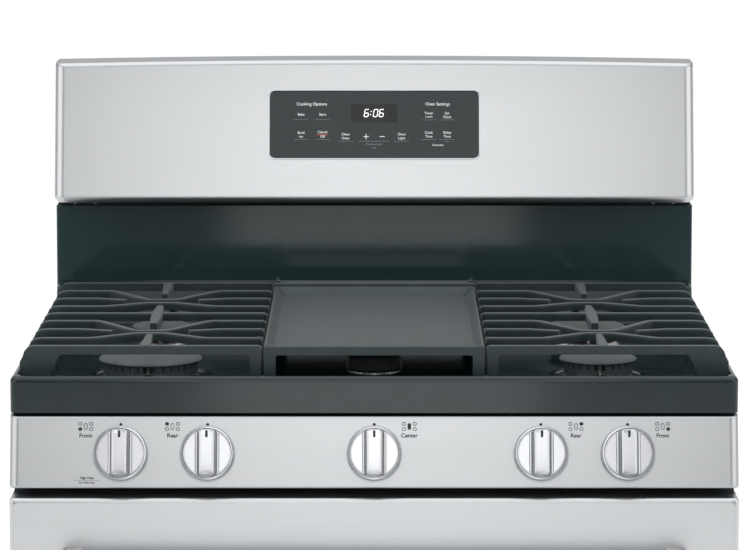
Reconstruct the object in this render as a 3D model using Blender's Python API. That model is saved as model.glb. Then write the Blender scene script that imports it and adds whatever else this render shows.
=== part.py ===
"""Freestanding gas range, 30 inches wide: five burners, a griddle, an oven and a storage drawer.

Metres, +Z up. The origin is on the floor under the middle of the range. The front looks along -Y.
Each named object is one piece of the range. Fixed pieces hang under the empty "range_body", and each
moving group hangs under an empty on its joint's axis, or has its own origin there.
"""

import math

import bmesh
import bpy
from mathutils import Matrix, Vector

# Overall size
HALF_WIDTH = 0.3794
REAR = 0.365
HANDLE_FRONT = -0.365
TOP = 1.197
SHEET = 0.0010
GAP = 0.0004

# Cabinet
SIDE_X = 0.378
SIDE_BOTTOM = 0.030
SIDE_TOP = 0.878
BODY_FRONT = -0.2535
BASE_BOTTOM = 0.040
BASE_RIM = 0.070
FLANGE = 0.016

# Cooktop
APRON_FRONT = -0.278
APRON_BOTTOM = 0.8785
RIM_TOP = 0.9165
WELL_FLOOR = 0.893
WELL_X = 0.374
WELL_FRONT = -0.266
WELL_REAR = 0.228
WELL_SLOPE = 0.007
LEDGE_TOP = 0.934
RISER_FRONT = 0.296
BURNER_X = 0.2405
BURNER_FRONT_Y = -0.1445
BURNER_REAR_Y = 0.0735
THROAT_RADIUS = 0.016
CAP_RADII = {
    "front_left": 0.0553,
    "rear_left": 0.0340,
    "rear_right": 0.0440,
    "front_right": 0.0415,
}
OVAL_HALF_WIDTH = 0.0315
OVAL_HALF_LENGTH = 0.095
OVAL_Y = -0.030
HEAD_TOP = 0.9085
THROAT_BOTTOM = 0.864
CAP_HEIGHT = 0.0085

# Grates and griddle
GRATE_TOP = 0.943
GRATE_BAR = 0.008
GRATE_DEPTH = 0.009
GRATE_INNER_X = 0.1191
GRATE_OUTER_X = 0.3642
GRATE_FOOT_X = 0.372
GRATE_FRONT = -0.2414
GRATE_REAR = 0.2153
GRATE_SKIRT = 0.9145
GRIDDLE_X = 0.1160
GRIDDLE_FRONT = -0.243
GRIDDLE_REAR = 0.2145
GRIDDLE_FLOOR = 0.934
GRIDDLE_RIM = 0.942
GRIDDLE_LIP = 0.946

# Control panel and knobs
PANEL_TOP = 0.8752
PANEL_BOTTOM = 0.8023
PANEL_FRONT = -0.280
PANEL_REAR = -0.2545
PANEL_LEAN = math.radians(15.0)
PANEL_END_RADIUS = 0.0085
KNOB_DROP = 0.0385
KNOB_RADIUS = 0.0283
KNOB_HEIGHT = 0.024
KNOB_LIFT = 0.0042
KNOB_X = {"front_left": -0.2635, "rear_left": -0.1733, "center": 0.0,
          "rear_right": 0.1733, "front_right": 0.2635}
STEM_RADIUS = 0.004
MANIFOLD_SETBACK = 0.052
MANIFOLD_RADIUS = 0.009
MANIFOLD_HALF_LENGTH = 0.300

# Riser and backguard
RISER_TOP = 1.0290
GUARD_BOTTOM = 1.0298
GUARD_FACE_BOTTOM = (0.262, 1.038)
GUARD_FACE_TOP = (0.298, 1.189)
GUARD_CROWN = 0.004
GUARD_X = 0.3788
GLASS_HALF_WIDTH = 0.1241
GLASS_HEIGHT = 0.0794
GLASS_MIDDLE = 0.086
GLASS_RADIUS = 0.007

# Oven
OVEN_X = 0.305
OVEN_BOTTOM = 0.255
OVEN_TOP = 0.735
OVEN_REAR = 0.255
MOUTH = -0.2516
FLOOR_PANEL_Z = 0.287
RACK_LEVELS = {"lower": 0.400, "upper": 0.560}
RIDGE_LEVELS = (0.400, 0.480, 0.560, 0.640)
RIDGE = 0.010

# Door and drawer
DOOR_X = 0.3785
DOOR_BOTTOM = 0.238
DOOR_TOP = 0.794
DOOR_FRONT = -0.308
DOOR_MIDDLE = -0.2830
DOOR_REAR = -0.2625
FOLD_RADIUS = 0.0024
DOOR_AXIS = (0.0, -0.298, 0.243)
HINGE_X = 0.338
HANDLE_Z = 0.725
HANDLE_RADIUS = 0.013
HANDLE_X = 0.312
DRAWER_BOTTOM = 0.060
DRAWER_TOP = 0.229
PAN_X = 0.333
PAN_REAR = 0.200
PAN_BOTTOM = 0.085
PAN_TOP = 0.185
MOUTH_TOP = 0.200

# Gas supply
SUPPLY_X = 0.25
SUPPLY_Y = 0.305
SUPPLY_HOLE_Z = 0.125
REGULATOR_Z = 0.100
REGULATOR_HEIGHT = 0.058
PIPE_RADIUS = 0.006

# Levelling legs
LEG_PLACES = {"front_left": (-0.335, -0.215), "front_right": (0.335, -0.215),
              "rear_left": (-0.335, 0.325), "rear_right": (0.335, 0.325)}
ROUND = 32


# ---- materials -----------------------------------------------------------------------------------

def make_material(name, colour, roughness, metallic):
    material = bpy.data.materials.new(name)
    material.use_nodes = True
    shader = material.node_tree.nodes["Principled BSDF"]
    shader.inputs["Base Color"].default_value = (*colour, 1.0)
    shader.inputs["Roughness"].default_value = roughness
    shader.inputs["Metallic"].default_value = metallic
    material.diffuse_color = (*colour, 1.0)
    return material


FINISHES = {
    "stainless": ((0.74, 0.74, 0.75), 0.30, 1.0),
    "knob_metal": ((0.82, 0.82, 0.83), 0.32, 1.0),
    "black_enamel": ((0.032, 0.042, 0.045), 0.25, 0.0),
    "cast_iron": ((0.040, 0.048, 0.050), 0.65, 0.0),
    "griddle_coating": ((0.085, 0.095, 0.098), 0.50, 0.0),
    "burner_aluminium": ((0.70, 0.69, 0.67), 0.40, 1.0),
    "black_glass": ((0.035, 0.045, 0.050), 0.06, 0.0),
    "side_paint": ((0.045, 0.047, 0.050), 0.45, 0.0),
    "galvanised_steel": ((0.55, 0.56, 0.57), 0.50, 1.0),
    "oven_enamel": ((0.055, 0.065, 0.085), 0.30, 0.0),
    "chrome_wire": ((0.80, 0.80, 0.80), 0.15, 1.0),
    "gasket_weave": ((0.30, 0.29, 0.27), 0.90, 0.0),
    "brass": ((0.72, 0.53, 0.24), 0.35, 1.0),
    "lamp_glass": ((0.85, 0.86, 0.84), 0.20, 0.0),
    "black_plastic": ((0.025, 0.025, 0.027), 0.55, 0.0),
}
MATERIALS = {}


# ---- shape helpers -------------------------------------------------------------------------------

def point(axis, along, first, second):
    """A point from its place along an axis and its two coordinates across it, in X, Y, Z order."""
    if axis == "X":
        return Vector((along, first, second))
    if axis == "Y":
        return Vector((first, along, second))
    return Vector((first, second, along))


def prism(outline, axis, stations):
    """A closed solid: an outline across an axis, carried from the first station along it to the last."""
    mesh = bmesh.new()
    face = mesh.faces.new([mesh.verts.new(point(axis, stations[0], *p)) for p in outline])
    grown = bmesh.ops.extrude_face_region(mesh, geom=[face], use_keep_orig=True)
    moved = [v for v in grown["geom"] if isinstance(v, bmesh.types.BMVert)]
    bmesh.ops.translate(mesh, verts=moved, vec=point(axis, stations[-1] - stations[0], 0.0, 0.0))
    for station in stations[1:-1]:
        bmesh.ops.bisect_plane(mesh, geom=mesh.verts[:] + mesh.edges[:] + mesh.faces[:], dist=1e-7,
                               plane_co=point(axis, station, 0.0, 0.0), plane_no=point(axis, 1.0, 0.0, 0.0))
    bmesh.ops.recalc_face_normals(mesh, faces=mesh.faces)
    return mesh


def box(low, high):
    outline = [(low[1], low[2]), (high[1], low[2]), (high[1], high[2]), (low[1], high[2])]
    return prism(outline, "X", (low[0], high[0]))


def arc(centre, radius, start_deg, end_deg, steps):
    """Points along an arc, in a plane."""
    points = []
    for i in range(steps + 1):
        angle = math.radians(start_deg + (end_deg - start_deg) * i / steps)
        points.append((centre[0] + radius * math.cos(angle), centre[1] + radius * math.sin(angle)))
    return points


def rounded_rectangle(half_x, half_y, radius, steps=4):
    corners = [(half_x, half_y, 0), (-half_x, half_y, 90), (-half_x, -half_y, 180), (half_x, -half_y, 270)]
    points = []
    for x, y, start in corners:
        centre = (x - math.copysign(radius, x), y - math.copysign(radius, y))
        points += arc(centre, radius, start, start + 90, steps)
    return points


def stadium(half_x, half_y, steps=10):
    reach = half_y - half_x
    return arc((0.0, reach), half_x, 0, 180, steps) + arc((0.0, -reach), half_x, 180, 360, steps)


def turned(profile, steps=ROUND):
    """A solid of revolution about Z, from (radius, height) pairs that start and end on the axis."""
    mesh = bmesh.new()
    verts = [mesh.verts.new((r, 0.0, z)) for r, z in profile]
    edges = [mesh.edges.new(pair) for pair in zip(verts, verts[1:])]
    bmesh.ops.spin(mesh, geom=verts + edges, axis=(0, 0, 1), cent=(0, 0, 0),
                   angle=math.tau, steps=steps, use_merge=True)
    bmesh.ops.remove_doubles(mesh, verts=mesh.verts, dist=1e-6)
    bmesh.ops.recalc_face_normals(mesh, faces=mesh.faces)
    return mesh


def strip_outline(path, half_width):
    """The outline of a bar of constant width that follows a path in a plane."""
    left, right = [], []
    for i, p in enumerate(path):
        before = Vector(path[max(i - 1, 0)])
        after = Vector(path[min(i + 1, len(path) - 1)])
        way = (after - before).normalized()
        side = Vector((-way.y, way.x)) * half_width
        left.append(tuple(Vector(p) + side))
        right.append(tuple(Vector(p) - side))
    return left + right[::-1]


def round_edges(mesh, chosen, radius, segments=2):
    bmesh.ops.bevel(mesh, geom=chosen, offset=radius, segments=segments, profile=0.5,
                    affect="EDGES", material=-1)


def edges_along(mesh, direction):
    way = Vector(direction).normalized()
    return [e for e in mesh.edges
            if abs((e.verts[1].co - e.verts[0].co).normalized().dot(way)) > 0.999]


def finish(name, mesh, slot, at=(0.0, 0.0, 0.0), turn=None, parent="range_body", placed=False):
    """Makes the object. `at` becomes its origin: the mesh is moved back to it unless it is placed."""
    if not placed:
        bmesh.ops.translate(mesh, verts=mesh.verts, vec=-Vector(at))
    data = bpy.data.meshes.new(name)
    mesh.to_mesh(data)
    mesh.free()
    data.shade_smooth()
    data.set_sharp_from_angle(angle=math.radians(30))
    data.materials.append(MATERIALS[slot])
    thing = bpy.data.objects.new(name, data)
    bpy.context.scene.collection.objects.link(thing)
    world = Matrix.Translation(at)
    if turn is not None:
        world = world @ turn
    group = bpy.data.objects[parent] if parent else None
    thing.parent = group
    thing.matrix_basis = (group.matrix_basis.inverted() if group else Matrix()) @ world
    return thing


def operand(name, mesh):
    """A hidden solid for a Boolean."""
    data = bpy.data.meshes.new(name)
    mesh.to_mesh(data)
    mesh.free()
    helper = bpy.data.objects.new(name, data)
    bpy.context.scene.collection.objects.link(helper)
    helper.hide_render = True
    helper.display_type = "WIRE"
    helper.hide_set(True)
    return helper


def combine(thing, meshes, operation):
    for mesh in meshes:
        count = len(thing.modifiers)
        modifier = thing.modifiers.new(f"{operation.lower()}_{count}", "BOOLEAN")
        modifier.operation = operation
        modifier.solver = "EXACT"
        modifier.object = operand(f"{thing.name}_{operation.lower()}_{count}", mesh)


def cut(thing, *meshes):
    combine(thing, meshes, "DIFFERENCE")


def join(thing, *meshes):
    combine(thing, meshes, "UNION")


def mirrored(outline):
    return [(-x, y) for x, y in outline]


def holder(name, at):
    """An empty that a group of pieces hangs under."""
    empty = bpy.data.objects.new(name, None)
    empty.empty_display_size = 0.03
    bpy.context.scene.collection.objects.link(empty)
    empty.matrix_basis = Matrix.Translation(at)


# ---- places that several pieces share ------------------------------------------------------------

PANEL_NORMAL = Vector((0.0, -math.cos(PANEL_LEAN), math.sin(PANEL_LEAN)))
PANEL_TURN = Matrix.Rotation(math.radians(90) - PANEL_LEAN, 4, "X")


def panel_point(x, drop):
    """A point on the control panel's face, a distance down its slope from the top edge."""
    back, down = drop * math.sin(PANEL_LEAN), drop * math.cos(PANEL_LEAN)
    return Vector((x, PANEL_FRONT - back, PANEL_TOP - down))


def guard_lean():
    run = GUARD_FACE_TOP[0] - GUARD_FACE_BOTTOM[0]
    return math.atan2(run, GUARD_FACE_TOP[1] - GUARD_FACE_BOTTOM[1])


def guard_point(x, rise):
    """A point on the backguard's face, a distance up its slope from the bottom edge."""
    lean = guard_lean()
    back, up = rise * math.sin(lean), rise * math.cos(lean)
    return Vector((x, GUARD_FACE_BOTTOM[0] + back, GUARD_FACE_BOTTOM[1] + up))


def burner_centre(name):
    if name == "center":
        return 0.0, OVAL_Y
    x = -BURNER_X if "left" in name else BURNER_X
    return x, BURNER_FRONT_Y if "front" in name else BURNER_REAR_Y


# ---- cabinet -------------------------------------------------------------------------------------

def make_side_panels():
    rear = REAR - SHEET - GAP
    inner = SIDE_X - SHEET
    lip = SIDE_X - FLANGE
    outline = [(-SIDE_X, BODY_FRONT), (-lip, BODY_FRONT), (-lip, BODY_FRONT + SHEET),
               (-inner, BODY_FRONT + SHEET), (-inner, rear - SHEET), (-lip, rear - SHEET),
               (-lip, rear), (-SIDE_X, rear)]
    for name, shape in (("side_panel_left", outline), ("side_panel_right", mirrored(outline))):
        finish(name, prism(shape, "Z", (SIDE_BOTTOM, SIDE_TOP)), "side_paint")


def make_rear_panel():
    low = (-SIDE_X, REAR - SHEET, BASE_BOTTOM + GAP)
    high = (SIDE_X, REAR, 0.930)
    panel = finish("rear_panel", box(low, high), "galvanised_steel")
    hole = prism(rounded_rectangle(0.045, 0.035, 0.008), "Z", (REAR - 0.01, REAR + 0.01))
    upright = Matrix.Rotation(math.radians(-90), 3, "X")
    bmesh.ops.rotate(hole, verts=hole.verts, cent=(0, 0, 0), matrix=upright)
    bmesh.ops.translate(hole, verts=hole.verts, vec=(SUPPLY_X, 0.0, SUPPLY_HOLE_Z))
    cut(panel, hole)


def make_base_pan():
    low = Vector((-SIDE_X + SHEET + GAP, BODY_FRONT + SHEET + GAP, BASE_BOTTOM))
    high = Vector((SIDE_X - SHEET - GAP, REAR - 2 * SHEET - 2 * GAP, BASE_RIM))
    pan = finish("base_pan", box(low, high), "galvanised_steel")
    wall = Vector((SHEET, SHEET, SHEET))
    above = Vector((-SHEET, -SHEET, 0.01))
    cut(pan, box(low + wall, high + above))
    for x, y in LEG_PLACES.values():
        low_z, high_z = BASE_BOTTOM - 0.01, BASE_RIM
        hole = turned([(0, low_z), (0.0065, low_z), (0.0065, high_z), (0, high_z)], 16)
        bmesh.ops.translate(hole, verts=hole.verts, vec=(x, y, 0.0))
        cut(pan, hole)


def make_legs():
    profile = [(0, 0), (0.018, 0), (0.020, 0.003), (0.020, 0.010), (0.009, 0.013), (0.009, 0.020),
               (0.005, 0.020), (0.005, 0.064), (0, 0.065)]
    for place, (x, y) in LEG_PLACES.items():
        finish(f"leveling_leg_{place}", turned(profile, 20), "black_plastic", at=(x, y, 0.0), placed=True,
               parent=None)


def make_front_frame():
    low = (-SIDE_X + SHEET + GAP, MOUTH, BASE_RIM + GAP)
    high = (SIDE_X - SHEET - GAP, MOUTH + SHEET, 0.798)
    frame = finish("front_frame", box(low, high), "black_enamel")
    front, back = MOUTH - 0.01, MOUTH + 0.01
    cut(frame, box((-OVEN_X, front, OVEN_BOTTOM), (OVEN_X, back, OVEN_TOP)))
    cut(frame, box((-0.345, front, 0.078), (0.345, back, MOUTH_TOP)))
    for side in (-1, 1):
        inner, outer = sorted((side * (HINGE_X - 0.007), side * (HINGE_X + 0.007)))
        cut(frame, box((inner, front, 0.232), (outer, back, 0.278)))


def make_drawer_rails():
    for name, side in (("drawer_rail_left", -1), ("drawer_rail_right", 1)):
        outline = [(0.3445, 0.100), (0.3600, 0.100), (0.3600, 0.128), (0.3445, 0.128),
                   (0.3445, 0.1265), (0.3585, 0.1265), (0.3585, 0.1015), (0.3445, 0.1015)]
        shape = prism([(side * x, z) for x, z in outline], "Y", (MOUTH + SHEET + GAP, 0.245))
        finish(name, shape, "galvanised_steel")


# ---- oven ----------------------------------------------------------------------------------------

def oven_section():
    """Half of the cavity's outline, with the ridges that carry the racks."""
    points = [(0.0, OVEN_BOTTOM), (OVEN_X, OVEN_BOTTOM)]
    for level in RIDGE_LEVELS:
        top = level - GAP
        points += [(OVEN_X, top - RIDGE - 0.004), (OVEN_X - RIDGE, top - RIDGE + 0.003),
                   (OVEN_X - RIDGE, top), (OVEN_X, top)]
    points += [(OVEN_X, OVEN_TOP), (0.0, OVEN_TOP)]
    return points


def make_oven_liner():
    front = MOUTH + SHEET + GAP
    liner = finish("oven_liner", box((-OVEN_X - SHEET, front, OVEN_BOTTOM - SHEET),
                                     (OVEN_X + SHEET, OVEN_REAR + SHEET, OVEN_TOP + SHEET)), "oven_enamel")
    flange = box((-OVEN_X - 0.022, front, OVEN_BOTTOM - 0.012),
                 (OVEN_X + 0.022, front + SHEET, OVEN_TOP + 0.022))
    half = oven_section()
    whole = half + [(-x, z) for x, z in half[-2::-1] if x > 0]
    hollow = prism(whole, "Y", (front - 0.02, OVEN_REAR))
    join(liner, flange)
    cut(liner, hollow)


def make_oven_floor():
    low = (-OVEN_X + 0.002, MOUTH + 0.012, FLOOR_PANEL_Z - 0.002)
    high = (OVEN_X - 0.002, OVEN_REAR - 0.003, FLOOR_PANEL_Z)
    panel = finish("oven_floor", box(low, high), "oven_enamel")
    for y in (-0.205, 0.215):
        for x in (-0.18, -0.06, 0.06, 0.18):
            cut(panel, box((x - 0.045, y - 0.004, 0.27), (x + 0.045, y + 0.004, 0.30)))


def tube(name, points, radius, slot, parent="range_body", sides=3, origin=(0.0, 0.0, 0.0)):
    """A round rod or pipe along a path, closed at both ends."""
    data = bpy.data.curves.new(name, "CURVE")
    data.dimensions = "3D"
    data.bevel_depth = radius
    data.bevel_resolution = sides
    data.use_fill_caps = True
    spline = data.splines.new("POLY")
    spline.points.add(len(points) - 1)
    for place, p in zip(spline.points, points):
        place.co = (*(Vector(p) - Vector(origin)), 1.0)
    data.materials.append(MATERIALS[slot])
    thing = bpy.data.objects.new(name, data)
    bpy.context.scene.collection.objects.link(thing)
    base = bpy.data.objects[parent]
    thing.parent = base
    thing.matrix_basis = base.matrix_basis.inverted() @ Matrix.Translation(origin)
    return thing


def bend(corner, start, end, radius, steps=4):
    """Points of a smooth elbow at a corner of a path."""
    corner = Vector(corner)
    first = corner + (Vector(start) - corner).normalized() * radius
    last = corner + (Vector(end) - corner).normalized() * radius
    parts = [i / steps for i in range(steps + 1)]
    return [first.lerp(corner, t).lerp(corner.lerp(last, t), t) for t in parts]


def make_oven_burners():
    z = 0.5 * (OVEN_BOTTOM + FLOOR_PANEL_Z - 0.002)
    path = [(0, MOUTH + 0.06, z), (0, 0.0, z), (0, OVEN_REAR - 0.004, z)]
    tube("bake_burner", path, 0.011, "galvanised_steel")
    broil = finish("broil_burner", box((-0.062, -0.17, 0.700), (0.062, 0.18, 0.712)), "galvanised_steel")
    join(broil, box((-0.012, 0.17, 0.701), (0.012, OVEN_REAR - 0.003, 0.7115)))


def make_oven_lamp():
    profile = [(0, 0), (0.034, 0), (0.034, 0.005), (0.029, 0.007), (0.027, 0.020), (0.018, 0.028), (0, 0.030)]
    turn = Matrix.Rotation(math.radians(90), 4, "X")
    at = (-0.205, OVEN_REAR - GAP, 0.665)
    finish("oven_lamp", turned(profile, 24), "lamp_glass", at=at, turn=turn, placed=True)


def lattice(x_bars, y_bars, low_z, high_z):
    """A flat grid: bars across X and Y, each a (low, high) pair, with holes between them."""
    xs = sorted({value for bar in x_bars for value in bar})
    ys = sorted({value for bar in y_bars for value in bar})
    mesh = bmesh.new()
    grid = [[mesh.verts.new((x, y, low_z)) for y in ys] for x in xs]
    for i in range(len(xs) - 1):
        for j in range(len(ys) - 1):
            if i % 2 and j % 2:
                continue
            mesh.faces.new((grid[i][j], grid[i + 1][j], grid[i + 1][j + 1], grid[i][j + 1]))
    grown = bmesh.ops.extrude_face_region(mesh, geom=mesh.faces[:], use_keep_orig=True)
    moved = [v for v in grown["geom"] if isinstance(v, bmesh.types.BMVert)]
    bmesh.ops.translate(mesh, verts=moved, vec=(0, 0, high_z - low_z))
    bmesh.ops.recalc_face_normals(mesh, faces=mesh.faces)
    return mesh


def make_racks():
    count = 14
    half = OVEN_X - 0.003
    front, rear = -0.222, 0.236
    pitch = (2 * half - 0.006) / (count - 1)
    x_bars = [(-half + i * pitch, -half + i * pitch + 0.006) for i in range(count)]
    y_bars = [(front, front + 0.006), (-0.075, -0.069), (0.078, 0.084), (rear - 0.006, rear)]
    for name, level in RACK_LEVELS.items():
        at = (0.0, 0.0, level)
        rack = lattice(x_bars, y_bars, level, level + 0.005)
        finish(f"oven_rack_{name}", rack, "chrome_wire", at=at, parent=None)


def make_gasket():
    """A loop of woven rope round the oven's mouth."""
    outer = (OVEN_X + 0.021, 0.250)
    inner = (OVEN_X + 0.012, 0.241)
    middle = 0.5 * (OVEN_BOTTOM + OVEN_TOP)
    mesh = prism(rounded_rectangle(*outer, 0.018, 3), "Z", (0.0004, 0.0096))
    round_edges(mesh, [e for e in mesh.edges if abs(e.verts[0].co.z - e.verts[1].co.z) < 1e-6], 0.0022, 1)
    turn = Matrix.Rotation(math.radians(90), 4, "X")
    gasket = finish("door_gasket", mesh, "gasket_weave", at=(0, MOUTH, middle), turn=turn, placed=True)
    hole = prism(rounded_rectangle(*inner, 0.009, 3), "Z", (-0.01, 0.02))
    bmesh.ops.transform(hole, matrix=Matrix.Translation((0, MOUTH, middle)) @ turn, verts=hole.verts)
    cut(gasket, hole)


# ---- door ----------------------------------------------------------------------------------------

def make_door():
    bottom, top = DOOR_BOTTOM, DOOR_TOP
    skin_mesh = box((-DOOR_X, DOOR_FRONT, bottom), (DOOR_X, DOOR_MIDDLE, top))
    front_edges = [e for e in skin_mesh.edges if all(v.co.y < DOOR_FRONT + 1e-4 for v in e.verts)]
    round_edges(skin_mesh, front_edges, FOLD_RADIUS, 2)
    skin = finish("door_skin", skin_mesh, "stainless", at=DOOR_AXIS, parent="door_axis")
    cut(skin, box((-DOOR_X + SHEET, DOOR_FRONT + SHEET, bottom + SHEET),
                  (DOOR_X - SHEET, DOOR_MIDDLE + 0.01, top - SHEET)))
    cut(skin, box((-0.255, DOOR_FRONT - 0.01, 0.345), (0.255, DOOR_FRONT + 0.01, 0.625)))
    back = DOOR_FRONT + SHEET + GAP
    finish("door_glass", box((-0.285, back, 0.315), (0.285, back + 0.004, 0.655)), "black_glass",
           at=DOOR_AXIS, parent="door_axis")
    liner_mesh = box((-DOOR_X + 0.001, DOOR_MIDDLE + GAP, bottom + 0.001),
                     (DOOR_X - 0.001, DOOR_REAR, top - 0.001))
    liner = finish("door_liner", liner_mesh, "oven_enamel", at=DOOR_AXIS, parent="door_axis")
    wall = SHEET + 0.001
    cut(liner, box((-DOOR_X + wall, DOOR_MIDDLE - 0.01, bottom + wall),
                   (DOOR_X - wall, DOOR_REAR - SHEET, top - wall)))
    cut(liner, box((-0.225, DOOR_REAR - 0.01, 0.375), (0.225, DOOR_REAR + 0.01, 0.605)))
    for side in (-1, 1):
        low, high = sorted((side * (HINGE_X - 0.0065), side * (HINGE_X + 0.0065)))
        cut(liner, box((low, DOOR_REAR - 0.01, 0.2345), (high, DOOR_REAR + 0.01, 0.2515)))
    inner = DOOR_REAR - SHEET - GAP
    finish("door_inner_glass", box((-0.240, inner - 0.004, 0.360), (0.240, inner, 0.620)), "black_glass",
           at=DOOR_AXIS, parent="door_axis")
    make_hinge_arms()
    make_handle()


def make_hinge_arms():
    front = DOOR_FRONT + SHEET + GAP
    outline = [(front, 0.2412), (-0.2450, 0.2412), (-0.2450, 0.2490), (-0.2835, 0.2490),
               (-0.2835, 0.3100), (front, 0.3100)]
    for name, side in (("door_hinge_left", -1), ("door_hinge_right", 1)):
        low, high = sorted((side * (HINGE_X - 0.005), side * (HINGE_X + 0.005)))
        finish(name, prism(outline, "X", (low, high)), "galvanised_steel", at=DOOR_AXIS, parent="door_axis")


def make_handle():
    y = HANDLE_FRONT + HANDLE_RADIUS
    foot = DOOR_FRONT - GAP
    left_foot, right_foot = (-HANDLE_X, foot, HANDLE_Z), (HANDLE_X, foot, HANDLE_Z)
    left, right = (-HANDLE_X, y, HANDLE_Z), (HANDLE_X, y, HANDLE_Z)
    points = [Vector(left_foot)] + bend(left, left_foot, right, 0.022)
    points += bend(right, left, right_foot, 0.022) + [Vector(right_foot)]
    tube("door_handle", points, HANDLE_RADIUS, "stainless", parent="door_axis", sides=4, origin=DOOR_AXIS)


# ---- drawer --------------------------------------------------------------------------------------

def make_drawer():
    at = (0.0, 0.0, DRAWER_BOTTOM)
    mesh = box((-DOOR_X, DOOR_FRONT, DRAWER_BOTTOM), (DOOR_X, -0.2905, DRAWER_TOP))
    front_edges = [e for e in mesh.edges if all(v.co.y < DOOR_FRONT + 1e-4 for v in e.verts)]
    round_edges(mesh, front_edges, FOLD_RADIUS, 2)
    front = finish("drawer_front", mesh, "stainless", at=at, parent="drawer_slide")
    cut(front, box((-DOOR_X + SHEET, DOOR_FRONT + SHEET, DRAWER_BOTTOM + SHEET),
                   (DOOR_X - SHEET, -0.28, DRAWER_TOP - SHEET)))
    low = Vector((-PAN_X, -0.2900, PAN_BOTTOM))
    high = Vector((PAN_X, PAN_REAR, PAN_TOP))
    pan = finish("drawer_pan", box(low, high), "galvanised_steel", at=at, parent="drawer_slide")
    wall = Vector((SHEET, SHEET, SHEET))
    cut(pan, box(low + wall, high + Vector((-SHEET, -SHEET, 0.01))))


# ---- cooktop, burners, grates and griddle --------------------------------------------------------

def make_cooktop():
    outer = [(APRON_FRONT, APRON_BOTTOM), (RISER_FRONT - GAP, APRON_BOTTOM), (RISER_FRONT - GAP, LEDGE_TOP),
             (WELL_REAR + 0.016, LEDGE_TOP), (WELL_REAR + 0.006, RIM_TOP), (APRON_FRONT, RIM_TOP)]
    mesh = prism(outer, "X", (-HALF_WIDTH, HALF_WIDTH))
    corners = [e for e in edges_along(mesh, (0, 0, 1)) if e.verts[0].co.y < APRON_FRONT + 1e-4]
    round_edges(mesh, corners, 0.007, 3)
    rim = [e for e in mesh.edges
           if all(v.co.z > RIM_TOP - 1e-4 and v.co.y < WELL_FRONT for v in e.verts)]
    round_edges(mesh, rim, 0.005, 2)
    top = finish("cooktop", mesh, "black_enamel")
    well = bmesh.new()
    shrink = WELL_SLOPE
    low = [(-WELL_X + shrink, WELL_FRONT + shrink), (WELL_X - shrink, WELL_FRONT + shrink),
           (WELL_X - shrink, WELL_REAR - shrink), (-WELL_X + shrink, WELL_REAR - shrink)]
    high = [(-WELL_X, WELL_FRONT), (WELL_X, WELL_FRONT), (WELL_X, WELL_REAR), (-WELL_X, WELL_REAR)]
    floor = [well.verts.new((x, y, WELL_FLOOR)) for x, y in low]
    brim = [well.verts.new((x, y, RIM_TOP)) for x, y in high]
    lid = [well.verts.new((x, y, RIM_TOP + 0.01)) for x, y in high]
    well.faces.new(floor)
    well.faces.new(lid)
    for lower, upper in ((floor, brim), (brim, lid)):
        for i in range(4):
            well.faces.new((lower[i], lower[i - 1], upper[i - 1], upper[i]))
    bmesh.ops.recalc_face_normals(well, faces=well.faces)
    cut(top, well)
    skin = 0.002
    cut(top, box((-HALF_WIDTH + skin, APRON_FRONT + skin, APRON_BOTTOM - 0.01),
                 (HALF_WIDTH - skin, RISER_FRONT - GAP - skin, WELL_FLOOR - skin)))
    cut(top, box((-HALF_WIDTH + skin, WELL_REAR + 0.010, WELL_FLOOR - skin - 0.001),
                 (HALF_WIDTH - skin, RISER_FRONT - GAP - skin, LEDGE_TOP - skin)))
    for name in KNOB_X:
        x, y = burner_centre(name)
        shape = stadium(0.012, 0.045, 6) if name == "center" else arc((0, 0), THROAT_RADIUS + 0.004, 0, 345, 23)
        hole = prism([(x + px, y + py) for px, py in shape], "Z", (WELL_FLOOR - 0.01, WELL_FLOOR + 0.01))
        cut(top, hole)


def make_round_burner(name, cap_radius):
    x, y = burner_centre(name)
    head = cap_radius - 0.004
    floor = WELL_FLOOR + GAP
    base = [(0, THROAT_BOTTOM), (THROAT_RADIUS, THROAT_BOTTOM), (THROAT_RADIUS, floor),
            (head + 0.006, floor), (head + 0.007, floor + 0.003), (head + 0.001, floor + 0.0045),
            (head - 0.002, HEAD_TOP), (0, HEAD_TOP)]
    finish(f"burner_base_{name}", turned(base, 28), "burner_aluminium", at=(x, y, 0), placed=True)
    low = HEAD_TOP + GAP
    cap = [(0, low), (cap_radius - 0.004, low), (cap_radius, low + 0.002),
           (cap_radius - 0.001, low + 0.0045),
           (cap_radius - 0.008, low + 0.0075), (0, low + CAP_HEIGHT)]
    finish(f"burner_cap_{name}", turned(cap, 28), "black_enamel", at=(x, y, 0), placed=True, parent=None)


def layered(size, layers):
    """An oval solid whose outline changes size with height: (height, inset) pairs."""
    mesh = bmesh.new()
    rings = []
    for height, inset in layers:
        shape = stadium(size[0] - inset, size[1] - inset, 8)
        rings.append([mesh.verts.new((px, py, height)) for px, py in shape])
    mesh.faces.new(rings[0])
    mesh.faces.new(rings[-1])
    for lower, upper in zip(rings, rings[1:]):
        for i in range(len(lower)):
            mesh.faces.new((lower[i - 1], lower[i], upper[i], upper[i - 1]))
    bmesh.ops.recalc_face_normals(mesh, faces=mesh.faces)
    return mesh


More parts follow.
